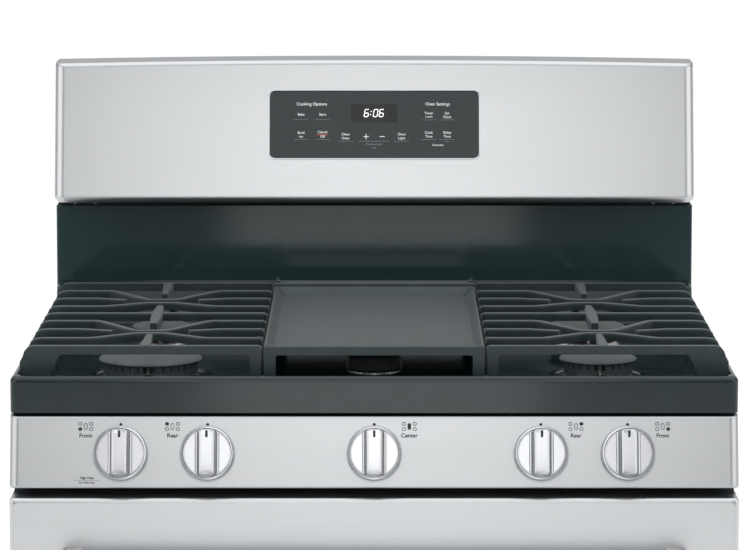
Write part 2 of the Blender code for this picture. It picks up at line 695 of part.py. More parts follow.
def make_oval_burner():
    size = (OVAL_HALF_WIDTH, OVAL_HALF_LENGTH)
    floor = WELL_FLOOR + GAP
    base = layered(size, [(floor, -0.004), (floor + 0.003, -0.004), (floor + 0.0045, 0.001),
                          (HEAD_TOP, 0.003)])
    body = finish("burner_base_center", base, "burner_aluminium", at=(0, OVAL_Y, 0), placed=True)
    throat = turned([(0, THROAT_BOTTOM), (0.010, THROAT_BOTTOM), (0.010, 0.895), (0, 0.895)], 16)
    bmesh.ops.translate(throat, verts=throat.verts, vec=(0, OVAL_Y, 0))
    join(body, throat)
    low = HEAD_TOP + GAP
    cap = layered(size, [(low, 0.003), (low + 0.002, 0.0), (low + 0.0045, 0.001), (low + 0.008, 0.007)])
    finish("burner_cap_center", cap, "black_enamel", at=(0, OVAL_Y, 0), placed=True, parent=None)


GRATE_BOWED = ((0.1521, 0.0839), (0.0362, 0.0629), (-0.0686, -0.1381), (-0.1855, -0.1509))
GRATE_FINGERS = ((0.0937, 0.081), (-0.1259, -0.137))
GRATE_SPINES = ((0.2113, 0.122), (0.038, -0.090), (-0.163, -0.2374))
BOW_REACH = 0.066
FINGER_TIP = 0.042


def bowed_path(y_end, y_middle):
    """A straight bar that bends towards a burner over its middle."""
    path = [(GRATE_INNER_X + 0.003, y_end), (BURNER_X - BOW_REACH, y_end)]
    for i in range(1, 6):
        t = i / 6
        x = BURNER_X - BOW_REACH * math.cos(math.pi * t)
        path.append((x, y_end + (y_middle - y_end) * math.sin(math.pi * t)))
    return path + [(BURNER_X + BOW_REACH, y_end), (GRATE_OUTER_X - 0.002, y_end)]


def bridge_outline(foot):
    """The front of a grate: a bar over an opening, with a narrow inner leg and a wide outer one."""
    under = GRATE_TOP - 0.008
    return [(GRATE_INNER_X, foot), (0.1304, foot), (0.1304, under), (0.3316, under), (0.3400, GRATE_SKIRT),
            (0.3400, foot), (GRATE_FOOT_X - 0.006, foot), (GRATE_FOOT_X, GRATE_SKIRT),
            (GRATE_OUTER_X, GRATE_TOP), (GRATE_INNER_X, GRATE_TOP)]


def make_grate(name, side):
    at = (side * BURNER_X, 0.0, GRATE_TOP)
    foot = WELL_FLOOR + GAP

    def flip(outline):
        return [(side * x, other) for x, other in outline]

    front = prism(flip(bridge_outline(foot)), "Y", (GRATE_FRONT, GRATE_FRONT + GRATE_BAR))
    grate = finish(name, front, "cast_iron", at=at, parent=None)
    pieces = [prism(flip(bridge_outline(foot)), "Y", (GRATE_REAR - GRATE_BAR, GRATE_REAR))]
    outer = [(GRATE_OUTER_X - 0.008, GRATE_TOP - 0.001), (GRATE_OUTER_X, GRATE_TOP - 0.001),
             (GRATE_FOOT_X, GRATE_SKIRT), (GRATE_FOOT_X - 0.008, GRATE_SKIRT)]
    inner = [(GRATE_INNER_X, 0.930), (GRATE_INNER_X + 0.008, 0.930),
             (GRATE_INNER_X + 0.008, GRATE_TOP - 0.001), (GRATE_INNER_X, GRATE_TOP - 0.001)]
    for outline in (outer, inner):
        pieces.append(prism(flip(outline), "Y", (GRATE_FRONT + 0.004, GRATE_REAR - 0.004)))
    low, high = GRATE_TOP - GRATE_DEPTH, GRATE_TOP - 0.0005
    half = 0.5 * GRATE_BAR
    paths = [bowed_path(*ends) for ends in GRATE_BOWED]
    paths.append([(GRATE_INNER_X + 0.003, -0.0147), (GRATE_OUTER_X - 0.002, -0.0147)])
    for y_rail, y_tip in GRATE_FINGERS:
        sides = ((GRATE_INNER_X + 0.003, BURNER_X - FINGER_TIP),
                 (GRATE_OUTER_X - 0.002, BURNER_X + FINGER_TIP))
        for start, tip in sides:
            elbow = tip + math.copysign(0.03, start - tip)
            paths.append([(start, y_rail), (elbow, y_rail), (tip, y_tip)])
    for y_start, y_end in GRATE_SPINES:
        paths.append([(BURNER_X, y_start), (BURNER_X, y_end)])
    for path in paths:
        pieces.append(prism(flip(strip_outline(path, half)), "Z", (low, high)))
    join(grate, *pieces)


def make_griddle():
    mesh = box((-GRIDDLE_X, GRIDDLE_FRONT, GRIDDLE_FLOOR - 0.003), (GRIDDLE_X, GRIDDLE_REAR, GRIDDLE_RIM))
    griddle = finish("griddle", mesh, "griddle_coating", at=(0.0, 0.0, GRIDDLE_RIM), parent=None)
    join(griddle, box((-GRIDDLE_X, GRIDDLE_REAR - 0.006, GRIDDLE_FLOOR - 0.002),
                      (GRIDDLE_X, GRIDDLE_REAR, GRIDDLE_LIP)))
    foot = 0.0121
    for x in (-GRIDDLE_X, GRIDDLE_X - foot):
        for y in (GRIDDLE_FRONT, GRIDDLE_REAR - foot):
            join(griddle, box((x, y, WELL_FLOOR + GAP), (x + foot, y + foot, GRIDDLE_FLOOR)))
    inside, mouth, above = 0.1064, 0.1120, GRIDDLE_LIP + 0.01
    section = [(-inside, GRIDDLE_FLOOR), (inside, GRIDDLE_FLOOR), (mouth, above), (-mouth, above)]
    cut(griddle, prism(section, "Y", (GRIDDLE_FRONT + 0.006, GRIDDLE_REAR - 0.010)))


# ---- gas train, control panel and knobs ----------------------------------------------------------

def make_control_panel():
    depth = (PANEL_TOP - PANEL_BOTTOM) * math.tan(PANEL_LEAN)
    outline = [(PANEL_REAR, PANEL_TOP), (PANEL_FRONT, PANEL_TOP), (PANEL_FRONT - depth, PANEL_BOTTOM),
               (PANEL_REAR, PANEL_BOTTOM)]
    mesh = prism(outline, "X", (-HALF_WIDTH, HALF_WIDTH))
    slope = (0.0, depth, PANEL_TOP - PANEL_BOTTOM)
    ends = [e for e in edges_along(mesh, slope) if e.verts[0].co.y < -0.27]
    round_edges(mesh, ends, PANEL_END_RADIUS, 3)
    panel = finish("control_panel", mesh, "stainless")
    skin = SHEET / math.cos(PANEL_LEAN)
    inside = [(-0.24, PANEL_TOP - SHEET), (PANEL_FRONT + skin, PANEL_TOP - SHEET),
              (PANEL_FRONT - depth + skin, PANEL_BOTTOM + SHEET), (-0.24, PANEL_BOTTOM + SHEET)]
    cut(panel, prism(inside, "X", (-HALF_WIDTH + 0.009, HALF_WIDTH - 0.009)))
    for x in KNOB_X.values():
        hole = turned([(0, -0.01), (0.0065, -0.01), (0.0065, 0.01), (0, 0.01)], 20)
        place = Matrix.Translation(panel_point(x, KNOB_DROP)) @ PANEL_TURN
        bmesh.ops.transform(hole, matrix=place, verts=hole.verts)
        cut(panel, hole)


def make_manifold():
    centre = panel_point(0.0, KNOB_DROP) - PANEL_NORMAL * MANIFOLD_SETBACK
    circle = arc((centre.y, centre.z), MANIFOLD_RADIUS, 0, 345, 23)
    pipe = prism(circle, "X", (-MANIFOLD_HALF_LENGTH, MANIFOLD_HALF_LENGTH))
    manifold = finish("gas_manifold", pipe, "galvanised_steel")
    for x in KNOB_X.values():
        body = box((-0.013, -0.014, -MANIFOLD_SETBACK + 0.004), (0.013, 0.014, -0.024))
        place = Matrix.Translation(panel_point(x, KNOB_DROP)) @ PANEL_TURN
        bmesh.ops.transform(body, matrix=place, verts=body.verts)
        join(manifold, body)
    return centre


def make_gas_supply(manifold):
    start = Vector((SUPPLY_X, SUPPLY_Y, REGULATOR_Z + REGULATOR_HEIGHT + GAP))
    corner = Vector((SUPPLY_X, SUPPLY_Y, manifold.z))
    end = Vector((SUPPLY_X, manifold.y + MANIFOLD_RADIUS + GAP, manifold.z))
    tube("gas_pipe", [start] + bend(corner, start, end, 0.03) + [end], PIPE_RADIUS, "galvanised_steel")
    profile = [(0, 0), (0.010, 0), (0.010, 0.018), (0.026, 0.020), (0.028, 0.030), (0.022, 0.040),
               (0.009, 0.044), (0.009, REGULATOR_HEIGHT), (0, REGULATOR_HEIGHT)]
    at = (SUPPLY_X, SUPPLY_Y, REGULATOR_Z)
    finish("pressure_regulator", turned(profile, 24), "brass", at=at, placed=True)


def make_knobs():
    skirt = [(0.0, KNOB_LIFT), (KNOB_RADIUS - 0.0015, KNOB_LIFT), (KNOB_RADIUS, KNOB_LIFT + 0.002),
             (KNOB_RADIUS - 0.0008, KNOB_LIFT + 0.007), (KNOB_RADIUS - 0.003, KNOB_LIFT + 0.009),
             (0.0, KNOB_LIFT + 0.0085)]
    stem_end, bore_end, bore_radius = KNOB_LIFT + 0.011, KNOB_LIFT + 0.0150, STEM_RADIUS + GAP
    stem = [(0, -0.0236), (STEM_RADIUS, -0.0236), (STEM_RADIUS, stem_end), (0, stem_end)]
    bore = [(0, 0), (bore_radius, 0), (bore_radius, bore_end), (0, bore_end)]
    top = KNOB_HEIGHT + KNOB_LIFT - 0.002
    for name, x in KNOB_X.items():
        at = panel_point(x, KNOB_DROP)
        place = Matrix.Translation(at) @ PANEL_TURN
        finish(f"valve_stem_{name}", turned(stem, 16), "brass", at=at, turn=PANEL_TURN, placed=True,
               parent=None)
        knob = finish(f"knob_{name}", turned(skirt, 40), "knob_metal", at=at, turn=PANEL_TURN, placed=True,
                      parent=None)
        right = [(0.0125, KNOB_LIFT + 0.005), (0.0125, KNOB_LIFT + 0.0095), (0.006, top)]
        grip = prism(right + mirrored(right)[::-1], "Y", (-0.024, 0.024))
        hollow = turned(bore, 16)
        for mesh in (grip, hollow):
            bmesh.ops.transform(mesh, matrix=place, verts=mesh.verts)
        join(knob, grip)
        cut(knob, hollow)


# ---- riser, backguard and clock glass ------------------------------------------------------------

def make_riser():
    rear = REAR - SHEET - GAP
    inner = HALF_WIDTH - SHEET
    outline = [(-HALF_WIDTH, RISER_FRONT), (HALF_WIDTH, RISER_FRONT), (HALF_WIDTH, rear), (inner, rear),
               (inner, RISER_FRONT + SHEET), (-inner, RISER_FRONT + SHEET), (-inner, rear), (-HALF_WIDTH, rear)]
    finish("riser", prism(outline, "Z", (APRON_BOTTOM, RISER_TOP)), "black_enamel")


def guard_section():
    """Side view of the backguard: rolled under at the bottom, leaning back, rounded over at the top."""
    lean = math.degrees(guard_lean())
    rear = REAR - SHEET - GAP
    foot, head = GUARD_FACE_BOTTOM, GUARD_FACE_TOP
    low_radius, top_radius = 0.008, 0.007
    low_centre = (foot[0] + low_radius, foot[1])
    top_centre = (head[0] + top_radius, head[1] - 0.003)
    points = [(rear, GUARD_BOTTOM)]
    points += arc(low_centre, low_radius, 270, 180 - lean * 0.5, 4)
    points += arc(top_centre, top_radius, 180 - lean, 90, 4)
    return points + [(rear, top_centre[1] + top_radius)]


def make_backguard():
    roll = 0.008
    ends = [GUARD_X - roll * (1 - math.sin(math.radians(a))) for a in (0, 30, 60, 90)]
    stations = [-x for x in ends[::-1]] + [-0.25, -0.125, 0.0, 0.125, 0.25] + ends
    mesh = prism(guard_section(), "X", stations)
    rear = REAR - SHEET - GAP
    for vert in mesh.verts:
        across = abs(vert.co.x)
        if vert.co.z > 1.15:
            vert.co.z += GUARD_CROWN * (1 - (across / GUARD_X) ** 2)
        if across > GUARD_X - roll and vert.co.y < rear - 0.03:
            turn = (across - (GUARD_X - roll)) / roll
            vert.co.y += roll * (1 - math.sqrt(max(0.0, 1 - turn * turn)))
    guard = finish("backguard", mesh, "stainless")
    wall = 0.0025
    lean = guard_lean()
    inside = [(rear + 0.01, GUARD_BOTTOM + wall), (GUARD_FACE_BOTTOM[0] + 0.013, GUARD_BOTTOM + wall),
              (GUARD_FACE_BOTTOM[0] + 0.008, GUARD_BOTTOM + 0.011),
              (GUARD_FACE_TOP[0] + 0.008, GUARD_FACE_TOP[1] - 0.004),
              (GUARD_FACE_TOP[0] + 0.012, GUARD_FACE_TOP[1] - 0.001), (rear + 0.01, GUARD_FACE_TOP[1] - 0.001)]
    cut(guard, prism(inside, "X", (-GUARD_X + 0.010, GUARD_X - 0.010)))
    turn = Matrix.Rotation(math.radians(90) - lean, 4, "X")
    place = Matrix.Translation(guard_point(0.0, GLASS_MIDDLE)) @ turn
    half_height = GLASS_HEIGHT / 2
    pocket_outline = rounded_rectangle(GLASS_HALF_WIDTH + GAP, half_height + GAP, GLASS_RADIUS)
    pocket = prism(pocket_outline, "Z", (-0.0016, 0.02))
    bmesh.ops.transform(pocket, matrix=place, verts=pocket.verts)
    cut(guard, pocket)
    glass = prism(rounded_rectangle(GLASS_HALF_WIDTH, half_height, GLASS_RADIUS), "Z", (-0.0012, 0.0010))
    finish("control_glass", glass, "black_glass", at=place.to_translation(), turn=turn, placed=True)
    cover = box((-GUARD_X, REAR - SHEET, 0.9304), (GUARD_X, REAR, TOP - 0.008))
    finish("backguard_rear_cover", cover, "galvanised_steel")


def clear_scene():
    for thing in list(bpy.data.objects):
        bpy.data.objects.remove(thing)


def main():
    clear_scene()
    for name, (colour, roughness, metallic) in FINISHES.items():
        MATERIALS[name] = make_material(name, colour, roughness, metallic)
    holder("range_body", (0.0, 0.0, 0.0))
    holder("door_axis", DOOR_AXIS)
    holder("drawer_slide", (0.0, 0.0, DRAWER_BOTTOM))
    make_side_panels()
    make_rear_panel()
    make_base_pan()
    make_legs()
    make_front_frame()
    make_drawer_rails()
    make_oven_liner()
    make_oven_floor()
    make_oven_burners()
    make_oven_lamp()
    make_racks()
    make_gasket()
    make_door()
    make_drawer()
    make_cooktop()
    for name, radius in CAP_RADII.items():
        make_round_burner(name, radius)
    make_oval_burner()
    make_grate("grate_left", -1)
    make_grate("grate_right", 1)
    make_griddle()
    make_control_panel()
    manifold = make_manifold()
    make_gas_supply(manifold)
    make_knobs()
    make_riser()
    make_backguard()
    bpy.context.view_layer.update()


main()
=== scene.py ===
# %% [markdown]
# # A freestanding gas range
#
# The range is a steel box 30 inches wide. Its engineering model holds every part at its real size and
# place. This lesson dresses that model: each visible part is rebuilt with its real edges, castings and
# pressings, and every surface gets a procedural finish. All lengths are in metres, +Z is up, and the
# front of the range looks along -Y.

# %% Load the engineering model
import math

import bmesh
import bpy
from mathutils import Matrix, Vector


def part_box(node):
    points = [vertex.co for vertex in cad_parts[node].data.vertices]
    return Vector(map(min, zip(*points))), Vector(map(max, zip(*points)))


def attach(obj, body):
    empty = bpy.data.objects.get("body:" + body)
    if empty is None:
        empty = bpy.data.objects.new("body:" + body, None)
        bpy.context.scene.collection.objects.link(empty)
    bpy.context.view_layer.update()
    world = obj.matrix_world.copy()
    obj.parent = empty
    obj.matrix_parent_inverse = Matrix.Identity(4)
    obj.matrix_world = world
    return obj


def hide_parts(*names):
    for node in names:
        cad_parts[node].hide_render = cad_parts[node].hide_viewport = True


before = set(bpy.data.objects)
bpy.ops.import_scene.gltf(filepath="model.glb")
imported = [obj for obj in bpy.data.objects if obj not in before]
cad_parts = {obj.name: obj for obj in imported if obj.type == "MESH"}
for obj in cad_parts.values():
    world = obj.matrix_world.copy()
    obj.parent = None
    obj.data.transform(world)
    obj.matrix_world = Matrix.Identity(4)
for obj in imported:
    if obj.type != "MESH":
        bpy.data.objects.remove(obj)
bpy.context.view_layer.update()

# %% [markdown]
# ## Helpers
#
# Nearly every part of a range is one of three things: a pressing, a casting or a turning. A pressing
# and a casting are rings of points that change with height or along a path, so one loft helper makes
# them: it extrudes the edges of the last ring and moves the new ones into place. A turning is a half
# profile spun about its axis.

# %% Rings, lofts and turnings


def arc(centre, radius, start, end, steps):
    """Points along an arc in a plane, between two angles in degrees."""
    angles = [math.radians(start + (end - start) * i / steps) for i in range(steps + 1)]
    return [(centre[0] + radius * math.cos(a), centre[1] + radius * math.sin(a)) for a in angles]


def rectangle(low, high, radius, steps=5):
    """A rectangle with round corners, anticlockwise from its right edge."""
    corners = ((1, 1, 0), (0, 1, 90), (0, 0, 180), (1, 0, 270))
    points = []
    for right, top, start in corners:
        x = high[0] - radius if right else low[0] + radius
        y = high[1] - radius if top else low[1] + radius
        points += arc((x, y), radius, start, start + 90, steps)
    return points


def stadium(half_x, half_y, steps=12):
    reach = half_y - half_x
    return arc((0, reach), half_x, 0, 180, steps) + arc((0, -reach), half_x, 180, 360, steps)


def lofted(rings, capped=True):
    """A skin over rings of points, each ring with the same number of them."""
    mesh = bmesh.new()
    ring = [mesh.verts.new(p) for p in rings[0]]
    edges = [mesh.edges.new(pair) for pair in zip(ring, ring[1:] + ring[:1])]
    if capped:
        bmesh.ops.contextual_create(mesh, geom=edges)
    for points in rings[1:]:
        order = {tuple(v.co): i for i, v in enumerate(ring)}
        grown = bmesh.ops.extrude_edge_only(mesh, edges=edges)["geom"]
        fresh = {g for g in grown if isinstance(g, bmesh.types.BMVert)}
        edges = [g for g in grown if isinstance(g, bmesh.types.BMEdge) and fresh.issuperset(g.verts)]
        ring = sorted(fresh, key=lambda v: order[tuple(v.co)])
        for vert, place in zip(ring, points):
            vert.co = place
    if capped:
        bmesh.ops.contextual_create(mesh, geom=edges)
    bmesh.ops.recalc_face_normals(mesh, faces=mesh.faces)
    return mesh


def looped(rings):
    """A closed loop of rings: the last one joins the first."""
    mesh = lofted(rings + rings[:1], capped=False)
    bmesh.ops.remove_doubles(mesh, verts=mesh.verts, dist=1e-7)
    bmesh.ops.recalc_face_normals(mesh, faces=mesh.faces)
    return mesh


def stacked(outline, layers):
    """A loft of one outline function: each layer is (height, inset)."""
    return lofted([[(x, y, height) for x, y in outline(inset)] for height, inset in layers])


def prism(outline, axis, stations):
    """An outline carried along an axis, through each station."""
    turns = {"X": lambda s, p: (s, p[0], p[1]), "Y": lambda s, p: (p[0], s, p[1]),
             "Z": lambda s, p: (p[0], p[1], s)}
    return lofted([[turns[axis](s, p) for p in outline] for s in stations])


def turned(profile, steps=48):
    """A half profile of (radius, height) pairs, spun about Z."""
    mesh = bmesh.new()
    verts = [mesh.verts.new((r, 0, z)) for r, z in profile]
    edges = [mesh.edges.new(pair) for pair in zip(verts, verts[1:])]
    bmesh.ops.spin(mesh, geom=verts + edges, axis=(0, 0, 1), cent=(0, 0, 0),
                   angle=math.tau, steps=steps, use_merge=True)
    bmesh.ops.remove_doubles(mesh, verts=mesh.verts, dist=1e-6)
    bmesh.ops.recalc_face_normals(mesh, faces=mesh.faces)
    return mesh


def swept(section, path):
    """A bar: a (side, up) section carried along a path, upright all the way."""
    rings, side = [], Vector((0, 1, 0))
    for i, p in enumerate(path):
        way = (Vector(path[min(i + 1, len(path) - 1)]) - Vector(path[max(i - 1, 0)])).normalized()
        level = Vector((way.x, way.y, 0))
        if level.length > 0.05:
            side = Vector((0, 0, 1)).cross(level).normalized()
        up = way.cross(side)
        rings.append([Vector(p) + side * s + up * u for s, u in section])
    return lofted(rings)


def moved(mesh, *steps):
    for matrix in steps:
        bmesh.ops.transform(mesh, matrix=matrix, verts=mesh.verts)
    return mesh


def merged(meshes):
    """Several shapes as one mesh."""
    whole = bmesh.new()
    for mesh in meshes:
        carrier = bpy.data.meshes.new("carrier")
        mesh.to_mesh(carrier)
        mesh.free()
        whole.from_mesh(carrier)
        bpy.data.meshes.remove(carrier)
    return whole


def softened(mesh, chosen, radius, segments=3):
    """Rounds the edges that the test picks."""
    bmesh.ops.bevel(mesh, geom=[e for e in mesh.edges if chosen(e)], offset=radius,
                    segments=segments, profile=0.5, affect="EDGES", material=-1)
    return mesh


def block(low, high, radius=0.0, segments=2):
    mesh = bmesh.new()
    bmesh.ops.create_cube(mesh, size=1.0)
    size = Vector(high) - Vector(low)
    middle = (Vector(high) + Vector(low)) / 2
    moved(mesh, Matrix.Diagonal((*size, 1)), Matrix.Translation(middle))
    return softened(mesh, lambda e: True, radius, segments) if radius else mesh


def circle(radius, steps=12):
    return arc((0, 0), radius, 0, 360 - 360 / steps, steps - 1)


print("helpers ready")

# %% [markdown]
# A finished part is an object at the origin with its place in its mesh. Its normals are weighted by
# area, so a large flat face stays flat up to its rounded edge instead of shading like a cushion. It
# rides on one body of the engineering model and hides the plain solids that it replaces.

# %% Turn a mesh into a part of the range


def part(name, mesh, material, body, slot, *stands_for, flat=False, angle=35):
    data = bpy.data.meshes.new(name)
    mesh.to_mesh(data)
    mesh.free()
    if not flat:
        data.shade_smooth()
        data.set_sharp_from_angle(angle=math.radians(angle))
    data.materials.append(material)
    thing = bpy.data.objects.new(name, data)
    bpy.context.scene.collection.objects.link(thing)
    if not flat:
        thing.modifiers.new("area_weighted_normals", "WEIGHTED_NORMAL").keep_sharp = True
    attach(thing, body)
    if stands_for:
        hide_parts(*stands_for)
    print(name, len(data.polygons), "faces")
    return thing


# %% [markdown]
# ## Finishes
#
# Colours are written as sRGB hex, the way a colour card gives them, and turned to linear light once.
# One helper adds a shader node with its settings and its links. Patterns read Object coordinates, so a
# scale of 1000 divided by a size in millimetres gives that size on the part.

# %% Colour and node helpers


def linear(code):
    values = [int(code[i:i + 2], 16) / 255 for i in (1, 3, 5)]
    return [v / 12.92 if v <= 0.04045 else ((v + 0.055) / 1.055) ** 2.4 for v in values] + [1.0]


def add(tree, kind, inputs=None, **settings):
    """A node with its settings; inputs are values or the outputs to link."""
    node = tree.nodes.new(kind)
    for key, value in settings.items():
        setattr(node, key, value)
    for key, value in (inputs or {}).items():
        if isinstance(value, bpy.types.NodeSocket):
            tree.links.new(value, node.inputs[key])
        else:
            node.inputs[key].default_value = value
    return node


def finish(name, colour, roughness, metallic=0.0, **sockets):
    """A material whose shader holds its plain values."""
    material = bpy.data.materials.new(name)
    material.use_nodes = True
    shader = material.node_tree.nodes["Principled BSDF"]
    values = {"Base Color": linear(colour), "Roughness": roughness, "Metallic": metallic}
    values.update({key.replace("_", " "): value for key, value in sockets.items()})
    for key, value in values.items():
        shader.inputs[key].default_value = value
    return material, material.node_tree, shader


def grain(tree, millimetres, stretch=(1, 1, 1), detail=2.0, offset=(0, 0, 0)):
    """A noise whose spots are about that size, longer along an axis whose stretch is below 1."""
    place = add(tree, "ShaderNodeTexCoord").outputs["Object"]
    scaled = add(tree, "ShaderNodeMapping", {"Vector": place, "Scale": stretch, "Location": offset})
    return add(tree, "ShaderNodeTexNoise", {"Vector": scaled.outputs["Vector"],
                                            "Scale": 1000 / millimetres, "Detail": detail})


def spread(tree, factor, low, high):
    """Maps a pattern onto a range of values."""
    mapped = add(tree, "ShaderNodeMapRange", {"Value": factor, "To Min": low, "To Max": high})
    return mapped.outputs["Result"]


def tint(tree, factor, first, second, start=0.35, end=0.65):
    ramp = add(tree, "ShaderNodeValToRGB", {"Fac": factor})
    ramp.color_ramp.elements[0].position = start
    ramp.color_ramp.elements[1].position = end
    ramp.color_ramp.elements[0].color = linear(first)
    ramp.color_ramp.elements[1].color = linear(second)
    return ramp.outputs["Color"]


def raise_surface(tree, shader, height, distance, strength=1.0):
    bump = add(tree, "ShaderNodeBump", {"Height": height, "Distance": distance, "Strength": strength})
    tree.links.new(bump.outputs["Normal"], shader.inputs["Normal"])


# %% [markdown]
# **Stainless steel** is ground with a belt that runs along the sheet, so its scratches are long in one
# direction. A noise that is stretched 150 times along X gives them. The real scratches are 0.05 mm
# apart; they are drawn 0.9 mm apart, or they would not show. The grain changes the roughness a lot and
# the height almost not at all.

# %% Brushed and plated metals


def brushed_steel(name, colour, paler, roughness, stretch):
    material, tree, shader = finish(name, colour, roughness, 1.0)
    scratches = grain(tree, 0.9, stretch, 4.0).outputs["Fac"]
    rough = spread(tree, scratches, roughness - 0.05, roughness + 0.05)
    tree.links.new(rough, shader.inputs["Roughness"])
    tree.links.new(tint(tree, scratches, colour, paler, 0.30, 0.75), shader.inputs["Base Color"])
    raise_surface(tree, shader, scratches, 0.00001, 0.25)
    return material


stainless = brushed_steel("belt_brushed_stainless", "#BFC0C2", "#C4C6C7", 0.30, (0.0067, 1, 1))
# The control panel is the same belt-brushed stainless, coloured a shade darker as painted shade.
panel_steel_painted_shade = brushed_steel("brushed_stainless_painted_darker", "#B4B5B7", "#B9BBBC", 0.31, (0.0067, 1, 1))
knob_metal = brushed_steel("satin_plated_zinc", "#B6B7B9", "#BDBEC0", 0.20, (1, 1, 0.02))

# The heads' cast aluminium is coloured dark grey as painted shade from the caps over them; the fresh casting
# below them stays bright.
head_metal_painted_shade, tree, shader = finish("aluminium_painted_shade_grey", "#444C4E", 0.55, 0.20)
mottle = grain(tree, 3.0, detail=3.0).outputs["Fac"]
tree.links.new(tint(tree, mottle, "#3D4547", "#4C5456"), shader.inputs["Base Color"])
raise_surface(tree, shader, grain(tree, 0.8).outputs["Fac"], 0.0001)

bright_aluminium, tree, shader = finish("machined_aluminium", "#DDDDDA", 0.26, 1.0)
tree.links.new(spread(tree, grain(tree, 1.5).outputs["Fac"], 0.18, 0.36), shader.inputs["Roughness"])

chrome, tree, shader = finish("nickel_chrome_plate", "#E6E6E6", 0.12, 1.0)
tree.links.new(spread(tree, grain(tree, 6.0).outputs["Fac"], 0.08, 0.18), shader.inputs["Roughness"])

brass, tree, shader = finish("machined_brass", "#C8A25A", 0.32, 1.0)
tree.links.new(tint(tree, grain(tree, 4.0).outputs["Fac"], "#B58F49", "#D3B06C"), shader.inputs["Base Color"])

# Hot-dip zinc freezes in flat crystals about 9 mm across, each with its own shade.
zinc, tree, shader = finish("galvanised_sheet", "#B9BCBE", 0.45, 1.0)
place = add(tree, "ShaderNodeTexCoord").outputs["Object"]
spangle = add(tree, "ShaderNodeTexVoronoi", {"Vector": place, "Scale": 1000 / 9.0})
shades = tint(tree, spangle.outputs["Color"], "#A9ACAE", "#C9CBCC", 0.2, 0.8)
tree.links.new(shades, shader.inputs["Base Color"])
tree.links.new(spread(tree, spangle.outputs["Color"], 0.36, 0.52), shader.inputs["Roughness"])
print("metals ready")

# %% [markdown]
# **Porcelain enamel** is glass fused on steel at 800 °C. It is black with a blue-green cast, glossy, and
# very slightly wavy where the glass flowed. Cast grates get a thinner, duller coat over the sand
# texture of the iron, and the griddle has a soft non-stick coat. Both look paler at a flat angle,
# because fine grit stands up from them; a little sheen gives that haze.

# %% Enamels, coatings and paints


def enamel(name, dark, light, roughness, wave_mm, height, fine=0.0, haze=0.0):
    material, tree, shader = finish(name, dark, roughness, IOR=1.46, Sheen_Weight=haze,
                                    Sheen_Roughness=0.5)
    flow = grain(tree, wave_mm, detail=1.0).outputs["Fac"]
    tree.links.new(tint(tree, flow, dark, light), shader.inputs["Base Color"])
    if fine:
        sand = grain(tree, fine, detail=3.0).outputs["Fac"]
        rough = spread(tree, sand, roughness - 0.08, roughness + 0.08)
        tree.links.new(rough, shader.inputs["Roughness"])
        raise_surface(tree, shader, sand, height)
    else:
        raise_surface(tree, shader, flow, height)
    return material


black_enamel = enamel("fired_black_enamel", "#07191C", "#091C20", 0.10, 30.0, 0.000006)
# The riser is the cooktop's fired black enamel, coloured lighter as painted light.
riser_enamel_painted_lighter = enamel("black_enamel_riser_painted_lighter", "#243638", "#26383A", 0.08, 40.0, 0.000006)
grate_enamel = enamel("matt_enamel_on_cast_iron", "#1E2B2D", "#243133", 0.48, 9.0, 0.00008, 1.4, haze=0.14)
cap_enamel = enamel("matt_enamel_on_steel", "#333E40", "#374244", 0.60, 8.0, 0.00004, 1.0, haze=0.24)
griddle_coat = enamel("nonstick_coat_on_cast", "#1E2C2E", "#223032", 0.42, 30.0, 0.00004, 1.1, haze=0.13)
side_paint = enamel("textured_powder_coat", "#26282A", "#2C2E30", 0.48, 10.0, 0.00010, 1.2)
frame_enamel = enamel("black_frame_enamel", "#15191A", "#1A1E1F", 0.35, 12.0, 0.00004)

# Oven enamel is dark blue-grey with light specks of unmelted frit, about 1 mm across.
oven_enamel, tree, shader = finish("speckled_oven_enamel", "#2C333C", 0.30, IOR=1.52)
place = add(tree, "ShaderNodeTexCoord").outputs["Object"]
specks = add(tree, "ShaderNodeTexVoronoi", {"Vector": place, "Scale": 1000 / 4.0}).outputs["Distance"]
tree.links.new(tint(tree, specks, "#9BA3AC", "#2C333C", 0.12, 0.20), shader.inputs["Base Color"])
raise_surface(tree, shader, grain(tree, 10.0).outputs["Fac"], 0.00005)

# Near-black painted shade, for the gap under the backguard that no light reaches.
painted_shade_black, tree, shader = finish("painted_shade_near_black", "#050606", 0.85, IOR=1.45)
raise_surface(tree, shader, grain(tree, 1.5).outputs["Fac"], 0.00005)

nylon, tree, shader = finish("moulded_nylon", "#1A1A1B", 0.55, IOR=1.53)
raise_surface(tree, shader, grain(tree, 1.2).outputs["Fac"], 0.00008)
print("enamels ready")

# %% [markdown]
# **Glass and print.** The clock sits behind a tinted glass that is printed black from behind, so it is a
# smooth dark sheet with one clean reflection. Legends are white ink. The oven lamp and the woven door
# rope are the two odd materials of the range.

# %% Glass, ink, rope

control_glass, tree, shader = finish("back_printed_control_glass", "#0A1D20", 0.16, IOR=1.38)
tree.links.new(spread(tree, grain(tree, 25.0).outputs["Fac"], 0.13, 0.20), shader.inputs["Roughness"])

window_tint, tree, shader = finish("smoked_display_window", "#020B0D", 0.14, IOR=1.32)
tree.links.new(spread(tree, grain(tree, 10.0).outputs["Fac"], 0.10, 0.15), shader.inputs["Roughness"])

door_glass, tree, shader = finish("black_printed_door_glass", "#0B0D0E", 0.05, IOR=1.52)
tree.links.new(spread(tree, grain(tree, 60.0).outputs["Fac"], 0.03, 0.07), shader.inputs["Roughness"])


def ink(name, colour, glow=0.0):
    material, tree, shader = finish(name, colour, 0.45)
    shader.inputs["Emission Color"].default_value = linear(colour)
    shader.inputs["Emission Strength"].default_value = glow
    tree.links.new(spread(tree, grain(tree, 0.8).outputs["Fac"], 0.40, 0.50), shader.inputs["Roughness"])
    return material
